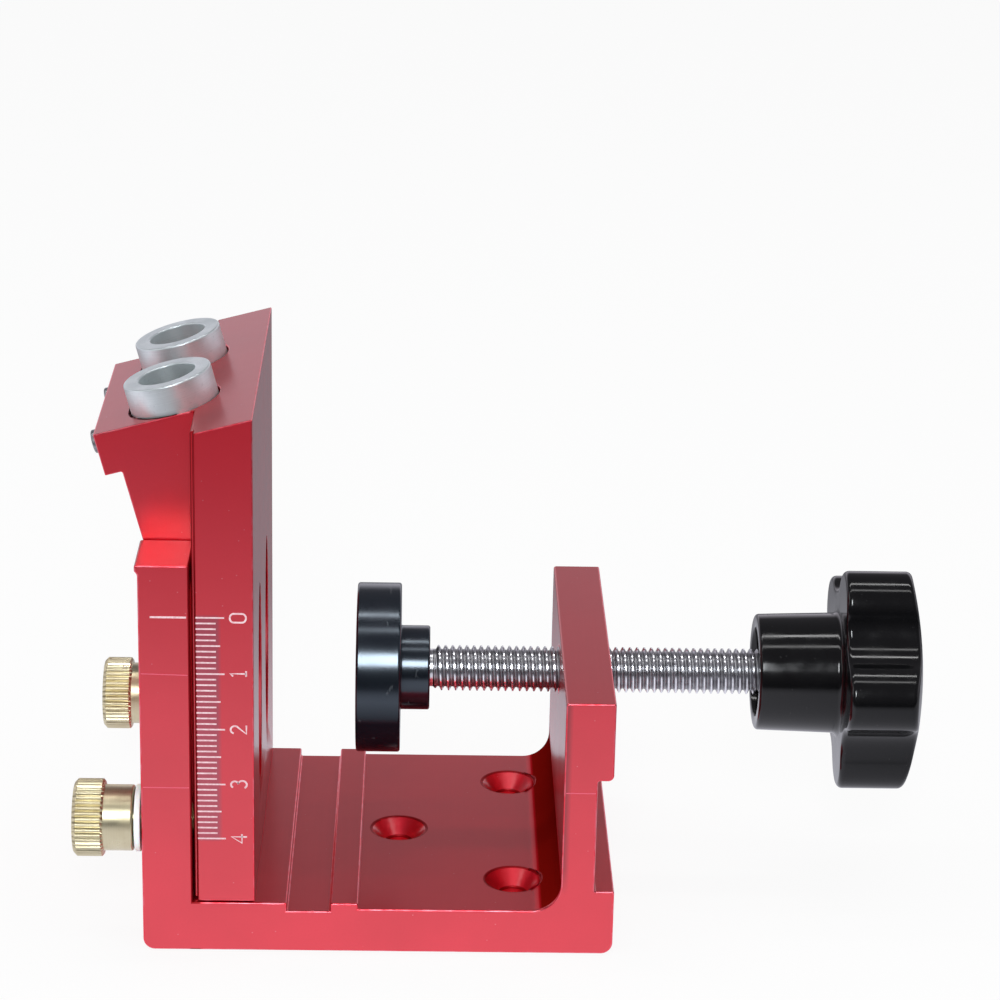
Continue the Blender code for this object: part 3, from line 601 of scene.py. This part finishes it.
def base_outline():
    """Cross-section of the extrusion as (x, z, radius), counterclockwise from the lower left."""
    post, column, lip = POST_FACE / MM, COLUMN_FACE / MM, -BASE_REACH - LIP
    return rounded([
        (-BASE_REACH, 0, BASE_CORNER), (BASE_REACH, 0, BASE_CORNER), (BASE_REACH, FOOT_TOP, 0),
        (WEB_FACE, FOOT_TOP, WEB_CORNER), (WEB_FACE, BOSS_BOTTOM, WEB_CORNER),
        (BOSS_FACE, BOSS_BOTTOM, BOSS_CORNER), (BOSS_FACE, POST_TOP, 0), (post, POST_TOP, POST_CORNER),
        (post, FLOOR_TOP, ROOT_RADIUS), (BED_END, FLOOR_TOP, 0), (BED_END, BED_TOP, 0),
        (GROOVE_END, BED_TOP, 0), (GROOVE_END, GROOVE_FLOOR, 0), (GROOVE_START, GROOVE_FLOOR, 0),
        (GROOVE_START, BED_TOP, 0), (column, BED_TOP, 0), (column, COLUMN_TOP, 0),
        (lip, COLUMN_TOP, LIP_EDGE), (lip, LIP_BOTTOM, LIP_UNDERSIDE), (-BASE_REACH, LIP_ROOT, 0)])


def leg_slot(sign):
    """A round-ended slot through a leg of the column: an outline in Y and Z carried along X."""
    left, right, low, high = -SLOT_REACH, SLOT_REACH, SLOT_BOTTOM, SLOT_TOP
    corners = (left, low), (right, low), (right, high), (left, high)
    outline = rounded([(y, z, SLOT_ROUND) for y, z in corners])
    points, faces, values = prism(outline, SLOT_CUT[0] * MM, SLOT_CUT[1] * MM)
    return np.stack([points[:, 1], points[:, 0] + sign * THUMB_Y, points[:, 2]], 1), faces, values


def countersunk(x, y):
    """A countersunk screw hole through the floor: a turned profile about an upright axis."""
    above = FLOOR_TOP + SINK_OVERRUN
    profile = np.array([(0, -OVERRUN), (HOLE_RADIUS, -OVERRUN), (HOLE_RADIUS, SINK_BOTTOM),
                        (SINK_RADIUS, FLOOR_TOP), (SINK_RADIUS, above), (0, above)]) * MM
    points, faces, values = turned(profile)
    return points + np.array([x, y, 0.0]) * MM, faces, values


def bore(radius, start, end, place, along):
    """A plain round cutter along an axis, sizes in millimetres."""
    profile = np.array([(0, start), (radius, start), (radius, end), (0, end)]) * MM
    return placed(turned(profile), place, along)


base_mesh = carved("frame_body", prism(base_outline(), FRONT, REAR), [
    box((GATE_CUT[0], FRONT / MM + LEG_WIDTH, GATE_BOTTOM),
        (GATE_CUT[1], REAR / MM - LEG_WIDTH, COLUMN_TOP + OVERRUN)),
    leg_slot(-1), leg_slot(1),
    bore(TAPPED_RADIUS, -OVERRUN, TAPPED_END, (POST_FACE, 0, CLAMP_Z), (1, 0, 0)),
    *(countersunk(x, y) for x, y in SCREW_HOLES)])
piece("frame_body", base_mesh, [frame_red, edge_red], "base", ["base_frame"], edge=0.28 * MM)

# Guide block, sizes in millimetres

PLATE_BACK, GUIDE_BOTTOM = -31.24, 9.3
BODY_REACH, NOSE_REACH = 10.44, 13.39  # from the drill axis to the inclined back and to the nose
NOSE_HEIGHT, NOSE_ROOT = 7.35, 0.35  # along the drill axis, and the rounding under the nose
BODY_SIDE = 19.65  # half the body's width
REBATE_SIDE, REBATE_BACK = 30.65, -30.64  # relief beside the plate's front and rear edges
DRILL_RADIUS, SEAT_RADIUS, SEAT_START = 5.2, 7.8, 35.1
DRILL_CUT = (-22.0, 60.0)  # past both ends, on the drill axis
SET_DROP, SET_HOLE_RADIUS = 3.6, 2.3  # the drop is below the top, along the drill axis
SET_HOLE = (7.5, 16.0)  # from the drill axis to past the nose
TAP_RADIUS, TAP_DEPTH = 3.3, 8.42  # for the thumb screws
PAST_LEFT, PAST_SIDE, PAST_BOTTOM, PAST_TOP = -70.0, 35.0, 7.0, 110.0  # outside the block
drill_along = np.array([-math.sin(DRILL_ANGLE), 0.0, math.cos(DRILL_ANGLE)])
drill_across = np.array([math.cos(DRILL_ANGLE), 0.0, math.sin(DRILL_ANGLE)])


def on_drill_axis(across, along):
    """X and Z in millimetres of a point across the drill axis (towards +X) and along it from its exit."""
    point = np.array([WORK_FACE, 0.0, DRILL_EXIT]) / MM + drill_across * across + drill_along * along
    return point[0], point[2]


def block_outline():
    """Cross-section of the guide block: upright plate, inclined top, nose and inclined back."""
    work, drill_top = WORK_FACE / MM, DRILL_TOP / MM
    nose_bottom = drill_top - NOSE_HEIGHT
    back_x, back_z = on_drill_axis(-BODY_REACH, 0.0)
    heel = back_z + (back_x - PLATE_BACK) / math.tan(DRILL_ANGLE)
    return rounded([
        (work, GUIDE_BOTTOM, 0), (work, DRILL_EXIT / MM + drill_top / math.cos(DRILL_ANGLE), 0),
        (*on_drill_axis(-NOSE_REACH, drill_top), 0), (*on_drill_axis(-NOSE_REACH, nose_bottom), 0),
        (*on_drill_axis(-BODY_REACH, nose_bottom), NOSE_ROOT), (PLATE_BACK, heel, 0),
        (PLATE_BACK, GUIDE_BOTTOM, 0)])


def drill_bore(sign):
    """The stepped bore of a bush and its drill: a turned profile along the inclined drill axis."""
    start, end = DRILL_CUT
    profile = np.array([(0, start), (DRILL_RADIUS, start), (DRILL_RADIUS, SEAT_START),
                        (SEAT_RADIUS, SEAT_START), (SEAT_RADIUS, end), (0, end)]) * MM
    return placed(turned(profile), (WORK_FACE, sign * BUSH_Y, DRILL_EXIT), drill_along)


def set_screw_place(sign):
    """Where a set screw's axis meets the drill axis of its bush."""
    return np.array([WORK_FACE, sign * BUSH_Y, DRILL_EXIT]) + drill_along * (DRILL_TOP - SET_DROP * MM)


guide_cutters = []
for _, sign in SIDES:
    for side_face, back in ((BODY_SIDE, PLATE_BACK), (REBATE_SIDE, REBATE_BACK)):
        low, high = sorted((sign * side_face, sign * PAST_SIDE))
        guide_cutters.append(box((PAST_LEFT, low, PAST_BOTTOM), (back, high, PAST_TOP)))
    guide_cutters.append(drill_bore(sign))
    guide_cutters.append(bore(SET_HOLE_RADIUS, *SET_HOLE, set_screw_place(sign), -drill_across))
    guide_cutters.append(bore(TAP_RADIUS, -OVERRUN, TAP_DEPTH, (PLATE_BACK * MM, sign * THUMB_Y, THUMB_Z),
                              (1, 0, 0)))
guide_mesh = carved("guide_body", prism(block_outline(), FRONT, REAR), guide_cutters)
piece("guide_body", guide_mesh, [guide_red, edge_red], "guide", ["guide_block"], edge=0.22 * MM)

# Scale, index mark and scored lines, in millimetres

SCALE_ZERO = 61.0  # height of the scale's zero
TICK_START = -30.5
TICK_ENDS = {10: -25.8, 5: -26.5, 1: -27.2}  # for centimetres, halves and millimetres
DIGIT_PLACE = -23.55
INDEX_START, INDEX_END = -38.0, -32.05
SCORED_LINES = [[(-39.6, 50.9), (-31.9, 50.7)], [(-39.6, 30.3), (-31.9, 30.3)],
                [(31.3, 30.1), (36.3, 30.1)]]


def digit_strokes():
    """Stroke paths of the digits 0 to 4 in a box 1.7 wide and 2.7 high, upright and centred: straight
    strokes from corner to corner, and arcs (a cos t, b sin t) about a centre."""
    angle = np.linspace(0, TURN, 33)
    zero = np.stack([0.78 * np.cos(angle), 1.32 * np.sin(angle)], 1)
    upright = np.abs(np.sin(angle))
    zero[:, 1] = np.sign(zero[:, 1]) * (0.55 + 0.78 * upright ** 0.8) * (upright > 1e-6)
    one = [[(-0.35, 0.85), (0.1, 1.3), (0.1, -1.3)], [(-0.4, -1.3), (0.6, -1.3)]]
    arc = np.linspace(math.radians(165), math.radians(-38), 14)
    two = np.stack([0.68 * np.cos(arc), 0.62 + 0.70 * np.sin(arc)], 1)
    two = np.concatenate([two, [(-0.75, -1.3), (0.8, -1.3)]])
    high = np.linspace(math.radians(150), math.radians(-80), 14)
    low = np.linspace(math.radians(80), math.radians(-150), 16)
    three = [np.stack([0.60 * np.cos(high), 0.70 + 0.62 * np.sin(high)], 1),
             np.stack([0.70 * np.cos(low), -0.58 + 0.74 * np.sin(low)], 1)]
    four = [[(0.35, -1.3), (0.35, 1.3), (-0.8, -0.45), (0.85, -0.45)]]
    return [[zero], one, [two], three, four]


ticks = []
for index in range(41):
    end = TICK_ENDS[next(step for step in TICK_ENDS if index % step == 0)]
    ticks.append([(TICK_START, SCALE_ZERO - index), (end, SCALE_ZERO - index)])
scale_marks = [ribbons(ticks, 0.27 * MM, FRONT, 0.025 * MM)]
for value, strokes in enumerate(digit_strokes()):
    paths = [np.asarray(stroke, float) for stroke in strokes]
    zero = SCALE_ZERO - 10.0 * value
    paths = [np.stack([DIGIT_PLACE - path[:, 1], zero + path[:, 0]], 1) for path in paths]
    scale_marks.append(ribbons(paths, 0.30 * MM, FRONT, 0.03 * MM))
shell_piece("scale_marks", join(*scale_marks), marking, "guide")
index_mark = ribbons([[(INDEX_START, SCALE_ZERO), (INDEX_END, SCALE_ZERO)]], 0.34 * MM, FRONT, 0.03 * MM)
shell_piece("index_mark", index_mark, marking, "base")
hairlines = ribbons(SCORED_LINES, 0.15 * MM, FRONT, 0.012 * MM)
shell_piece("frame_hairlines", hairlines, scored, "base")

# Drill bushes and set screws, in millimetres; a seam is where a closed profile starts and ends

BUSH_BORE, BUSH_RADIUS, BUSH_CHAMFER = 4.875, 7.5, 0.6
BUSH_START, BUSH_SEAM, BUSH_END = 35.4, 35.9, 59.4
SET_RADIUS, SET_CHAMFER, SOCKET_RADIUS, SOCKET_MOUTH = 2.0, 0.3, 1.15, 1.2
SET_START, SET_END = 7.8, 15.1  # from the drill axis
SOCKET_EDGE, SOCKET_FLOOR, SOCKET_POINT = 15.0, 13.5, 13.2
SOCKET_ROWS = 4  # profile points from the socket's mouth to its centre


def hexagon(angle, size):
    """Reach of a hexagon's side at an angle, measured from a corner."""
    return size * math.cos(math.pi / 6) / np.cos(angle % (math.pi / 3) - math.pi / 6)


def socketed(radius, angle):
    """The last rows before the centre follow a hexagon."""
    changed = radius.copy()
    changed[-SOCKET_ROWS:-1] = hexagon(angle, SOCKET_RADIUS * MM)
    return changed


bush_profile = closed(rounded([
    (BUSH_BORE, BUSH_START, 0), (BUSH_RADIUS - BUSH_CHAMFER, BUSH_START, 0),
    (BUSH_RADIUS, BUSH_START + BUSH_CHAMFER, 0.2), (BUSH_RADIUS, BUSH_END, 0.32),
    (BUSH_BORE, BUSH_END, 0.3), (BUSH_BORE, BUSH_SEAM, 0)], 15))
set_profile = rounded([
    (0, SET_START, 0), (SET_RADIUS - SET_CHAMFER, SET_START, 0), (SET_RADIUS, SET_START + SET_CHAMFER, 0),
    (SET_RADIUS, SET_END, 0.25), (SOCKET_MOUTH, SET_END, 0), (SOCKET_RADIUS, SOCKET_EDGE, 0),
    (SOCKET_RADIUS, SOCKET_FLOOR, 0), (0, SOCKET_POINT, 0)], 15)
for side, sign in SIDES:
    bush = placed(turned(bush_profile, 128), (WORK_FACE, sign * BUSH_Y, DRILL_EXIT), drill_along)
    shell_piece(side + "_bush", bush, bush_steel, "guide", [side + "_drill_bush"])
    set_screw = placed(turned(set_profile, reach=socketed), set_screw_place(sign), -drill_across)
    shell_piece(side + "_set_screw", set_screw, worn_steel, "guide",
                [side + "_bush_set_screw"])

# Thumb screws and washers, in millimetres outwards from the column's outer face

THREAD_START, THREAD_END = -17.28, 1.2
THREAD_RADIUS, THREAD_DEPTH, THREAD_PITCH, THREAD_FADE = 3.0, 0.58, 1.0, 0.8
STEM_START, COLLAR_START, COLLAR_END, HEAD_END = 1.0, 1.6, 6.6, 11.7
COLLAR_RADIUS, HEAD_RADIUS = 5.6, 6.58
SHOULDER_RADIUS, SHOULDER_END = 6.2, 6.9  # bevel behind the head
CHAMFER_START, CHAMFER_RADIUS = 11.1, 5.95
DISH_RADIUS, DISH_ROOT, DISH_FLOOR = 4.6, 4.3, 11.45
KNURLS, KNURL_DEPTH = 42, 0.42
KNURL_FROM, KNURL_FULL, KNURL_START = 5.8, 6.2, 6.65  # radii while it deepens, and height
WASHER_BORE, WASHER_RADIUS, WASHER_START, WASHER_SEAM, WASHER_END = 3.3, 5.7, 0.3, 0.5, 1.3


def knurled(profile):
    """Reach of a knurled head: r minus the depth times the square of a raised cosine of the angle."""
    depth = np.clip((profile[:, 0] / MM - KNURL_FROM) / (KNURL_FULL - KNURL_FROM), 0, 1)
    depth = KNURL_DEPTH * MM * depth * (profile[:, 1] >= KNURL_START * MM)
    return lambda radius, angle: radius - depth[:, None] * (0.5 - 0.5 * np.cos(KNURLS * angle)) ** 2


head_profile = rounded([
    (0, STEM_START, 0), (THREAD_RADIUS, STEM_START, 0), (THREAD_RADIUS, COLLAR_START, 0),
    (COLLAR_RADIUS, COLLAR_START, 0.35), (COLLAR_RADIUS, COLLAR_END, 0.1), (SHOULDER_RADIUS, COLLAR_END, 0),
    (HEAD_RADIUS, SHOULDER_END, 0.08), (HEAD_RADIUS, CHAMFER_START, 0.1), (CHAMFER_RADIUS, HEAD_END, 0.15),
    (DISH_RADIUS, HEAD_END, 0.1), (DISH_ROOT, DISH_FLOOR, 0.1), (0, DISH_FLOOR, 0)], 15)
washer_profile = closed(rounded([
    (WASHER_BORE, WASHER_START, 0), (WASHER_RADIUS, WASHER_START, 0.2), (WASHER_RADIUS, WASHER_END, 0.2),
    (WASHER_BORE, WASHER_END, 0), (WASHER_BORE, WASHER_SEAM, 0)], 20))
for side, sign in SIDES:
    place, along = (LEFT, sign * THUMB_Y, THUMB_Z), (-1, 0, 0)
    head = placed(turned(head_profile, KNURLS * 8, knurled(head_profile)), place, along)
    points, faces, values = threaded(THREAD_START, THREAD_END, THREAD_RADIUS, THREAD_DEPTH, THREAD_PITCH,
                                     THREAD_FADE, sides=40)
    thread = stood(points, place, along), faces, 0 * values
    shell_piece(side + "_thumb", join(head, thread), brass, side + "_thumb",
                [side + "_thumb_screw"], sharp=40.0)
    shell_piece(side + "_washer", placed(turned(washer_profile), place, along), nylon, side + "_washer",
                [side + "_nylon_washer"])

# Pressure pad, in millimetres from its face, with its thrust disc and retaining ring

PAD_RADIUS, PAD_HUB, PAD_BORE, RING_SEAT = 14.87, 7.4, 4.3, 5.4
PAD_BACK, PAD_END, PAD_FLOOR = 7.7, 12.8, 4.6
RING_START, RING_END = 9.5, 11.1
clamp_axis = (PAD_X, 0.0, CLAMP_Z), (1, 0, 0)
pad_profile = rounded([
    (0, 0, 0), (PAD_RADIUS, 0, 0.45), (PAD_RADIUS, PAD_BACK, 0.45), (PAD_HUB, PAD_BACK, 0.25),
    (PAD_HUB, PAD_END, 0.4), (PAD_BORE, PAD_END, 0.3), (PAD_BORE, RING_END, 0), (RING_SEAT, RING_END, 0),
    (RING_SEAT, RING_START, 0), (PAD_BORE, RING_START, 0), (PAD_BORE, PAD_FLOOR, 0), (0, PAD_FLOOR, 0)], 12)
shell_piece("pad_body", placed(turned(pad_profile, 160), *clamp_axis), black_metal, "pad",
            ["pressure_pad"])
for name, finish in (("pad_thrust_disc", bush_steel), ("pad_retaining_ring", worn_steel)):
    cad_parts[name].data.materials.clear()
    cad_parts[name].data.materials.append(finish)

# Clamp screw, in millimetres from the pad's face

SCREW_RADIUS, SCREW_DEPTH, SCREW_PITCH, SCREW_FADE = 4.0, 0.72, 1.25, 0.9
TIP_RADIUS, GROOVE_RADIUS, PLAIN_RADIUS, SHANK_CHAMFER = 3.5, 3.3, 3.9, 3.5
TIP_START, TIP_FULL, LAND_END, RUNOUT, INNER_END = 6.2, 6.7, 12.2, 12.5, 13.6
HELIX_START, HELIX_END = 13.3, 74.0
SHANK_START, SHANK_FULL, SHANK_END = 73.0, 91.0, 91.5
# The inner end's depth value gives it a little of the thread's painted root shade
INNER_END_DEPTH = 0.3  # depth value of the plain inner end
screw_end = np.array([
    (0, TIP_START), (TIP_RADIUS, TIP_START), (SCREW_RADIUS, TIP_FULL), (SCREW_RADIUS, RING_START),
    (GROOVE_RADIUS, RING_START), (GROOVE_RADIUS, RING_END), (PLAIN_RADIUS, RING_END),
    (PLAIN_RADIUS, LAND_END), (GROOVE_RADIUS, RUNOUT), (GROOVE_RADIUS, INNER_END), (0, INNER_END)]) * MM
points, faces, values = turned(screw_end, 64)
inner_end = stood(points, *clamp_axis), faces, INNER_END_DEPTH + 0 * values
helix = threaded(HELIX_START, HELIX_END, SCREW_RADIUS, SCREW_DEPTH, SCREW_PITCH, SCREW_FADE, sides=72)
shank = np.array([(0, SHANK_START), (PLAIN_RADIUS, SHANK_START), (PLAIN_RADIUS, SHANK_FULL),
                  (SHANK_CHAMFER, SHANK_END), (0, SHANK_END)]) * MM
points, faces, values = turned(shank, 64)
outer_end = stood(points, *clamp_axis), faces, 0 * values
shell_piece("screw_thread", join(inner_end, placed(helix, *clamp_axis), outer_end), zinc, "screw",
            ["clamp_screw"])

# Handwheel and its insert, in millimetres from the pad's face

LOBES, LOBE_REACH, LOBE_RADIUS, VALLEY_REACH = 5, 20.3 * MM, 6.0 * MM, 14.6 * MM
WHEEL_TURN = math.radians(12.0)
HUB_START, RIM_START, WHEEL_END = 70.1, 84.6, 96.2
HUB_RADIUS, HUB_SPREAD, HUB_LENGTH = 10.2, 0.4, 13.5  # the spread is the hub's taper over its length
HUB_EDGE, RIM_EDGE, FACE_EDGE = 0.6, 1.0, 0.9  # roundings
MOUTH_RADIUS, MOUTH_DEPTH, SEAT_END = 7.8, 2.5, 93.8
MOUTH_EDGE = ((0.3, 0.0), (0.1, 0.07), (0.0, 0.3))  # steps up and out of its rounded edge
INSERT_HOLE, DOME = 6.5, 2.9
INSERT_BORE, INSERT_RADIUS = 4.3, 6.2
INSERT_START, INSERT_SEAM, INSERT_END = 72.9, 73.2, 93.4


def lobed(angle):
    """Reach of the rim at an angle from a lobe's crest: a crest arc and a valley arc that touch."""
    half = math.pi / LOBES
    crest, fall = LOBE_REACH - LOBE_RADIUS, LOBE_RADIUS - VALLEY_REACH
    centre = (crest ** 2 - fall ** 2) / (2 * (crest * math.cos(half) + fall))
    valley = centre - VALLEY_REACH
    share = LOBE_RADIUS / (LOBE_RADIUS + valley)
    touch = math.atan2(centre * math.sin(half) * share, crest + (centre * math.cos(half) - crest) * share)
    off = np.abs((angle + half) % (2 * half) - half)
    over = crest * np.cos(off) + np.sqrt(np.maximum(LOBE_RADIUS ** 2 - (crest * np.sin(off)) ** 2, 0))
    back = half - off
    under = centre * np.cos(back) - np.sqrt(np.maximum(valley ** 2 - (centre * np.sin(back)) ** 2, 0))
    return np.where(off < touch, over, under)


def wheel_rows():
    """Rows of (height, circle radius, inset, blend, share, lift): the insert's hole and the hub's mouth, the
    rounded and tapered hub, the flare, the rounded rim, and the face."""
    quarter = [math.radians(angle) for angle in (15, 30, 45, 60, 75, 90)]
    flare_start, flare_radius = HUB_START + HUB_LENGTH, HUB_RADIUS + HUB_SPREAD + RIM_EDGE
    mouth_end = HUB_START + MOUTH_DEPTH
    round_rows = [(SEAT_END, 0), (SEAT_END, INSERT_HOLE)]
    round_rows += [(mouth_end, INSERT_HOLE), (mouth_end, MOUTH_RADIUS)]
    round_rows += [(HUB_START + up, MOUTH_RADIUS + out) for up, out in MOUTH_EDGE]
    round_rows += [(HUB_START + HUB_EDGE * (1 - math.cos(t)), HUB_RADIUS - HUB_EDGE * (1 - math.sin(t)))
                   for t in (0.0, *quarter)]
    round_rows += [(HUB_START + HUB_LENGTH * s, HUB_RADIUS + HUB_SPREAD * s) for s in (0.25, 0.5, 0.75, 1.0)]
    round_rows += [(flare_start + RIM_EDGE * math.sin(t), flare_radius - RIM_EDGE * math.cos(t))
                   for t in quarter]
    rows = [(height, radius, 0, 0, 1, 0) for height, radius in round_rows]
    rows += [(RIM_START, flare_radius, RIM_EDGE, s, 1, 0) for s in (0.34, 0.67, 1.0)]
    rows += [(RIM_START + RIM_EDGE * (1 - math.cos(t)), 0, RIM_EDGE * (1 - math.sin(t)), 1, 1, 0)
             for t in quarter]
    rows += [(RIM_START + s, 0, 0, 1, 1, 0) for s in (3.5, 6.0, 8.5)]
    rows += [(WHEEL_END - FACE_EDGE * (1 - math.sin(t)), 0, FACE_EDGE * (1 - math.cos(t)), 1, 1, 1)
             for t in (0.0, *quarter)]
    return rows + [(WHEEL_END, 0, FACE_EDGE, 1, s, 1) for s in np.linspace(0.93, 0.0, 14)]


def handwheel():
    """A row's reach is its circle blended into the lobed rim less the inset, times the share. Where lift
    is 1 the height grows by dome (1 - (r / reach)^2): one turned dome cut by the lobes."""
    rows = wheel_rows()
    height, circle, inset, blend, share, lift = (np.array(column)[:, None] for column in zip(*rows))
    sides = LOBES * 72
    angle = np.linspace(0, TURN, sides, endpoint=False)[None]
    reach = (circle * MM * (1 - blend) + (lobed(angle) - inset * MM) * blend) * share
    turned_by = angle + WHEEL_TURN
    raised = height * MM + lift * DOME * MM * (1 - (reach / LOBE_REACH) ** 2)
    grid = np.stack([-reach * np.cos(turned_by), -reach * np.sin(turned_by), raised], -1)
    return grid.reshape(-1, 3), quads(len(rows), sides), np.repeat(height.ravel() * MM, sides)


shell_piece("wheel_body", placed(handwheel(), *clamp_axis), phenolic, "screw",
            ["handwheel"], sharp=40.0)
insert_profile = closed(rounded([
    (INSERT_BORE, INSERT_START, 0), (INSERT_RADIUS, INSERT_START, 0.2), (INSERT_RADIUS, INSERT_END, 0),
    (INSERT_BORE, INSERT_END, 0), (INSERT_BORE, INSERT_SEAM, 0)], 20))
shell_piece("wheel_insert", placed(turned(insert_profile), *clamp_axis), brass, "screw",
            ["handwheel_insert"])


# Studio: floor, world, lamps and camera

FLOOR_REACH, FLOOR_DROP = 5.0, 0.1 * MM
LAMP_AIM = Vector((0.0, 0.0, 45 * MM))
CAMERA_PLACE = Vector((6.556, -526.90, 260.24)) * MM
CAMERA_PITCH, CAMERA_YAW, CAMERA_ROLL = 0.3452, 0.0253, 0.0225  # radians
SENSOR_WIDTH, FOCAL_LENGTH = 36.0, 116.63


def studio_floor():
    """A wide pale floor. Seen directly it is white with a soft shadow; gloss sees it bright near the jig
    and darker towards the far front, as on a small shooting table."""
    ends = (-FLOOR_REACH, FLOOR_REACH)
    mesh = bpy.data.meshes.new("studio_floor")
    mesh.from_pydata([(x, y, -FLOOR_DROP) for x in ends for y in ends], [], [(0, 2, 3, 1)])
    made = linked("studio_floor", mesh)
    finish, tree, shader = material("pale floor", (0.86, 0.86, 0.86), 0.0, 0.8)
    rays = node(tree, "LightPath").outputs
    across, away, _ = axes_of(tree)
    table = all_of(tree, between(tree, away, -0.29, -0.12, 0.06, 1.0),
                   between(tree, away, 0.02, 0.14, 1.0, 0.36), between(tree, across, 0.05, 0.11, 1.0, 0.6))
    glow = blended(tree, rays["Is Camera Ray"], table, 1.0)
    gloss = math_node(tree, "MAXIMUM", rays["Is Glossy Ray"], rays["Is Transmission Ray"])
    share = math_node(tree, "MAXIMUM", all_of(tree, rays["Is Camera Ray"], 0.9), gloss)
    tint = mixed(tree, rays["Is Camera Ray"], (0.97, 0.97, 1.07), (1.0, 1.0, 1.0))
    light = node(tree, "Emission", {"Color": tint, "Strength": glow}).outputs[0]
    both = node(tree, "MixShader", {0: share, 1: shader.outputs[0], 2: light}).outputs[0]
    tree.links.new(both, tree.nodes["Material Output"].inputs["Surface"])
    mesh.materials.append(finish)


def studio_world():
    """White where it is seen directly. Gloss sees a white horizon that falls to grey upwards and is dark
    towards the front; the rest is lit by a plain soft level."""
    world = bpy.data.worlds.new("studio")
    bpy.context.scene.world = world
    world.use_nodes = True
    tree = world.node_tree
    rays = node(tree, "LightPath").outputs
    direction = node(tree, "TexCoord").outputs["Generated"]
    _, away, up = node(tree, "SeparateXYZ", {"Vector": direction}).outputs
    back = between(tree, up, 0.20, 0.46, 1.0, 0.18)
    front = between(tree, up, 0.0, 0.5, 0.05, 0.16)
    glossy = blended(tree, between(tree, away, -0.5, 0.1), front, back)
    plain = blended(tree, rays["Is Glossy Ray"], 0.5, glossy)
    seen = math_node(tree, "MAXIMUM", rays["Is Camera Ray"], rays["Is Transmission Ray"])
    background = tree.nodes["Background"]
    tint = mixed(tree, rays["Is Glossy Ray"], (1.0, 1.0, 1.0), (1.0, 0.96, 1.06))
    tree.links.new(tint, background.inputs["Color"])
    tree.links.new(blended(tree, seen, plain, 1.0), background.inputs["Strength"])


def stand_object(name, data, axes, place):
    """An object with its own X, Y and Z axes along three directions of the world."""
    made = linked(name, data)
    made.matrix_world = Matrix(axes).transposed().to_4x4()
    made.matrix_world.translation = place
    return made


def lamp(name, azimuth, elevation, distance, size, radiance, colour=(1.0, 1.0, 1.0)):
    """A soft box that looks at the middle of the jig. Azimuth 0 is the camera's side, positive to the
    right; the watts are the radiance times pi times the area."""
    turn, rise = math.radians(azimuth), math.radians(elevation)
    back = Vector((math.sin(turn) * math.cos(rise), -math.cos(turn) * math.cos(rise), math.sin(rise)))
    data = bpy.data.lights.new(name, "AREA")
    data.shape, data.size, data.size_y, data.color = "RECTANGLE", size[0], size[1], colour
    data.energy = radiance * math.pi * size[0] * size[1]
    across = Vector((math.cos(turn), math.sin(turn), 0.0))
    stand_object(name, data, (across, back.cross(across), back), LAMP_AIM + distance * back)


def camera():
    """The camera of the photograph: a long lens slightly above the jig."""
    pitch, yaw, roll = CAMERA_PITCH, CAMERA_YAW, CAMERA_ROLL
    ahead = Vector((math.sin(yaw) * math.cos(pitch), math.cos(yaw) * math.cos(pitch), -math.sin(pitch)))
    level = Vector((math.cos(yaw), -math.sin(yaw), 0.0))
    above = level.cross(ahead)
    right = level * math.cos(roll) + above * math.sin(roll)
    top = above * math.cos(roll) - level * math.sin(roll)
    data = bpy.data.cameras.new("camera")
    data.sensor_width, data.lens, data.clip_start = SENSOR_WIDTH, FOCAL_LENGTH, 0.01
    bpy.context.scene.camera = stand_object("camera", data, (right, top, -ahead), CAMERA_PLACE)


studio_floor()
studio_world()
lamp("front lamp", -1.2, 31.5, 1.0, (0.19, 0.27), 26.0, (0.93, 0.97, 1.0))
lamp("upper strip front", 0.0, 73.0, 0.9, (1.1, 0.07), 4.2)
lamp("upper strip back", 0.0, 97.0, 0.9, (1.1, 0.07), 9.0)
lamp("left fill", -75.0, 25.0, 1.0, (0.5, 0.5), 1.2)
camera()
bpy.context.scene.view_settings.view_transform = "Standard"
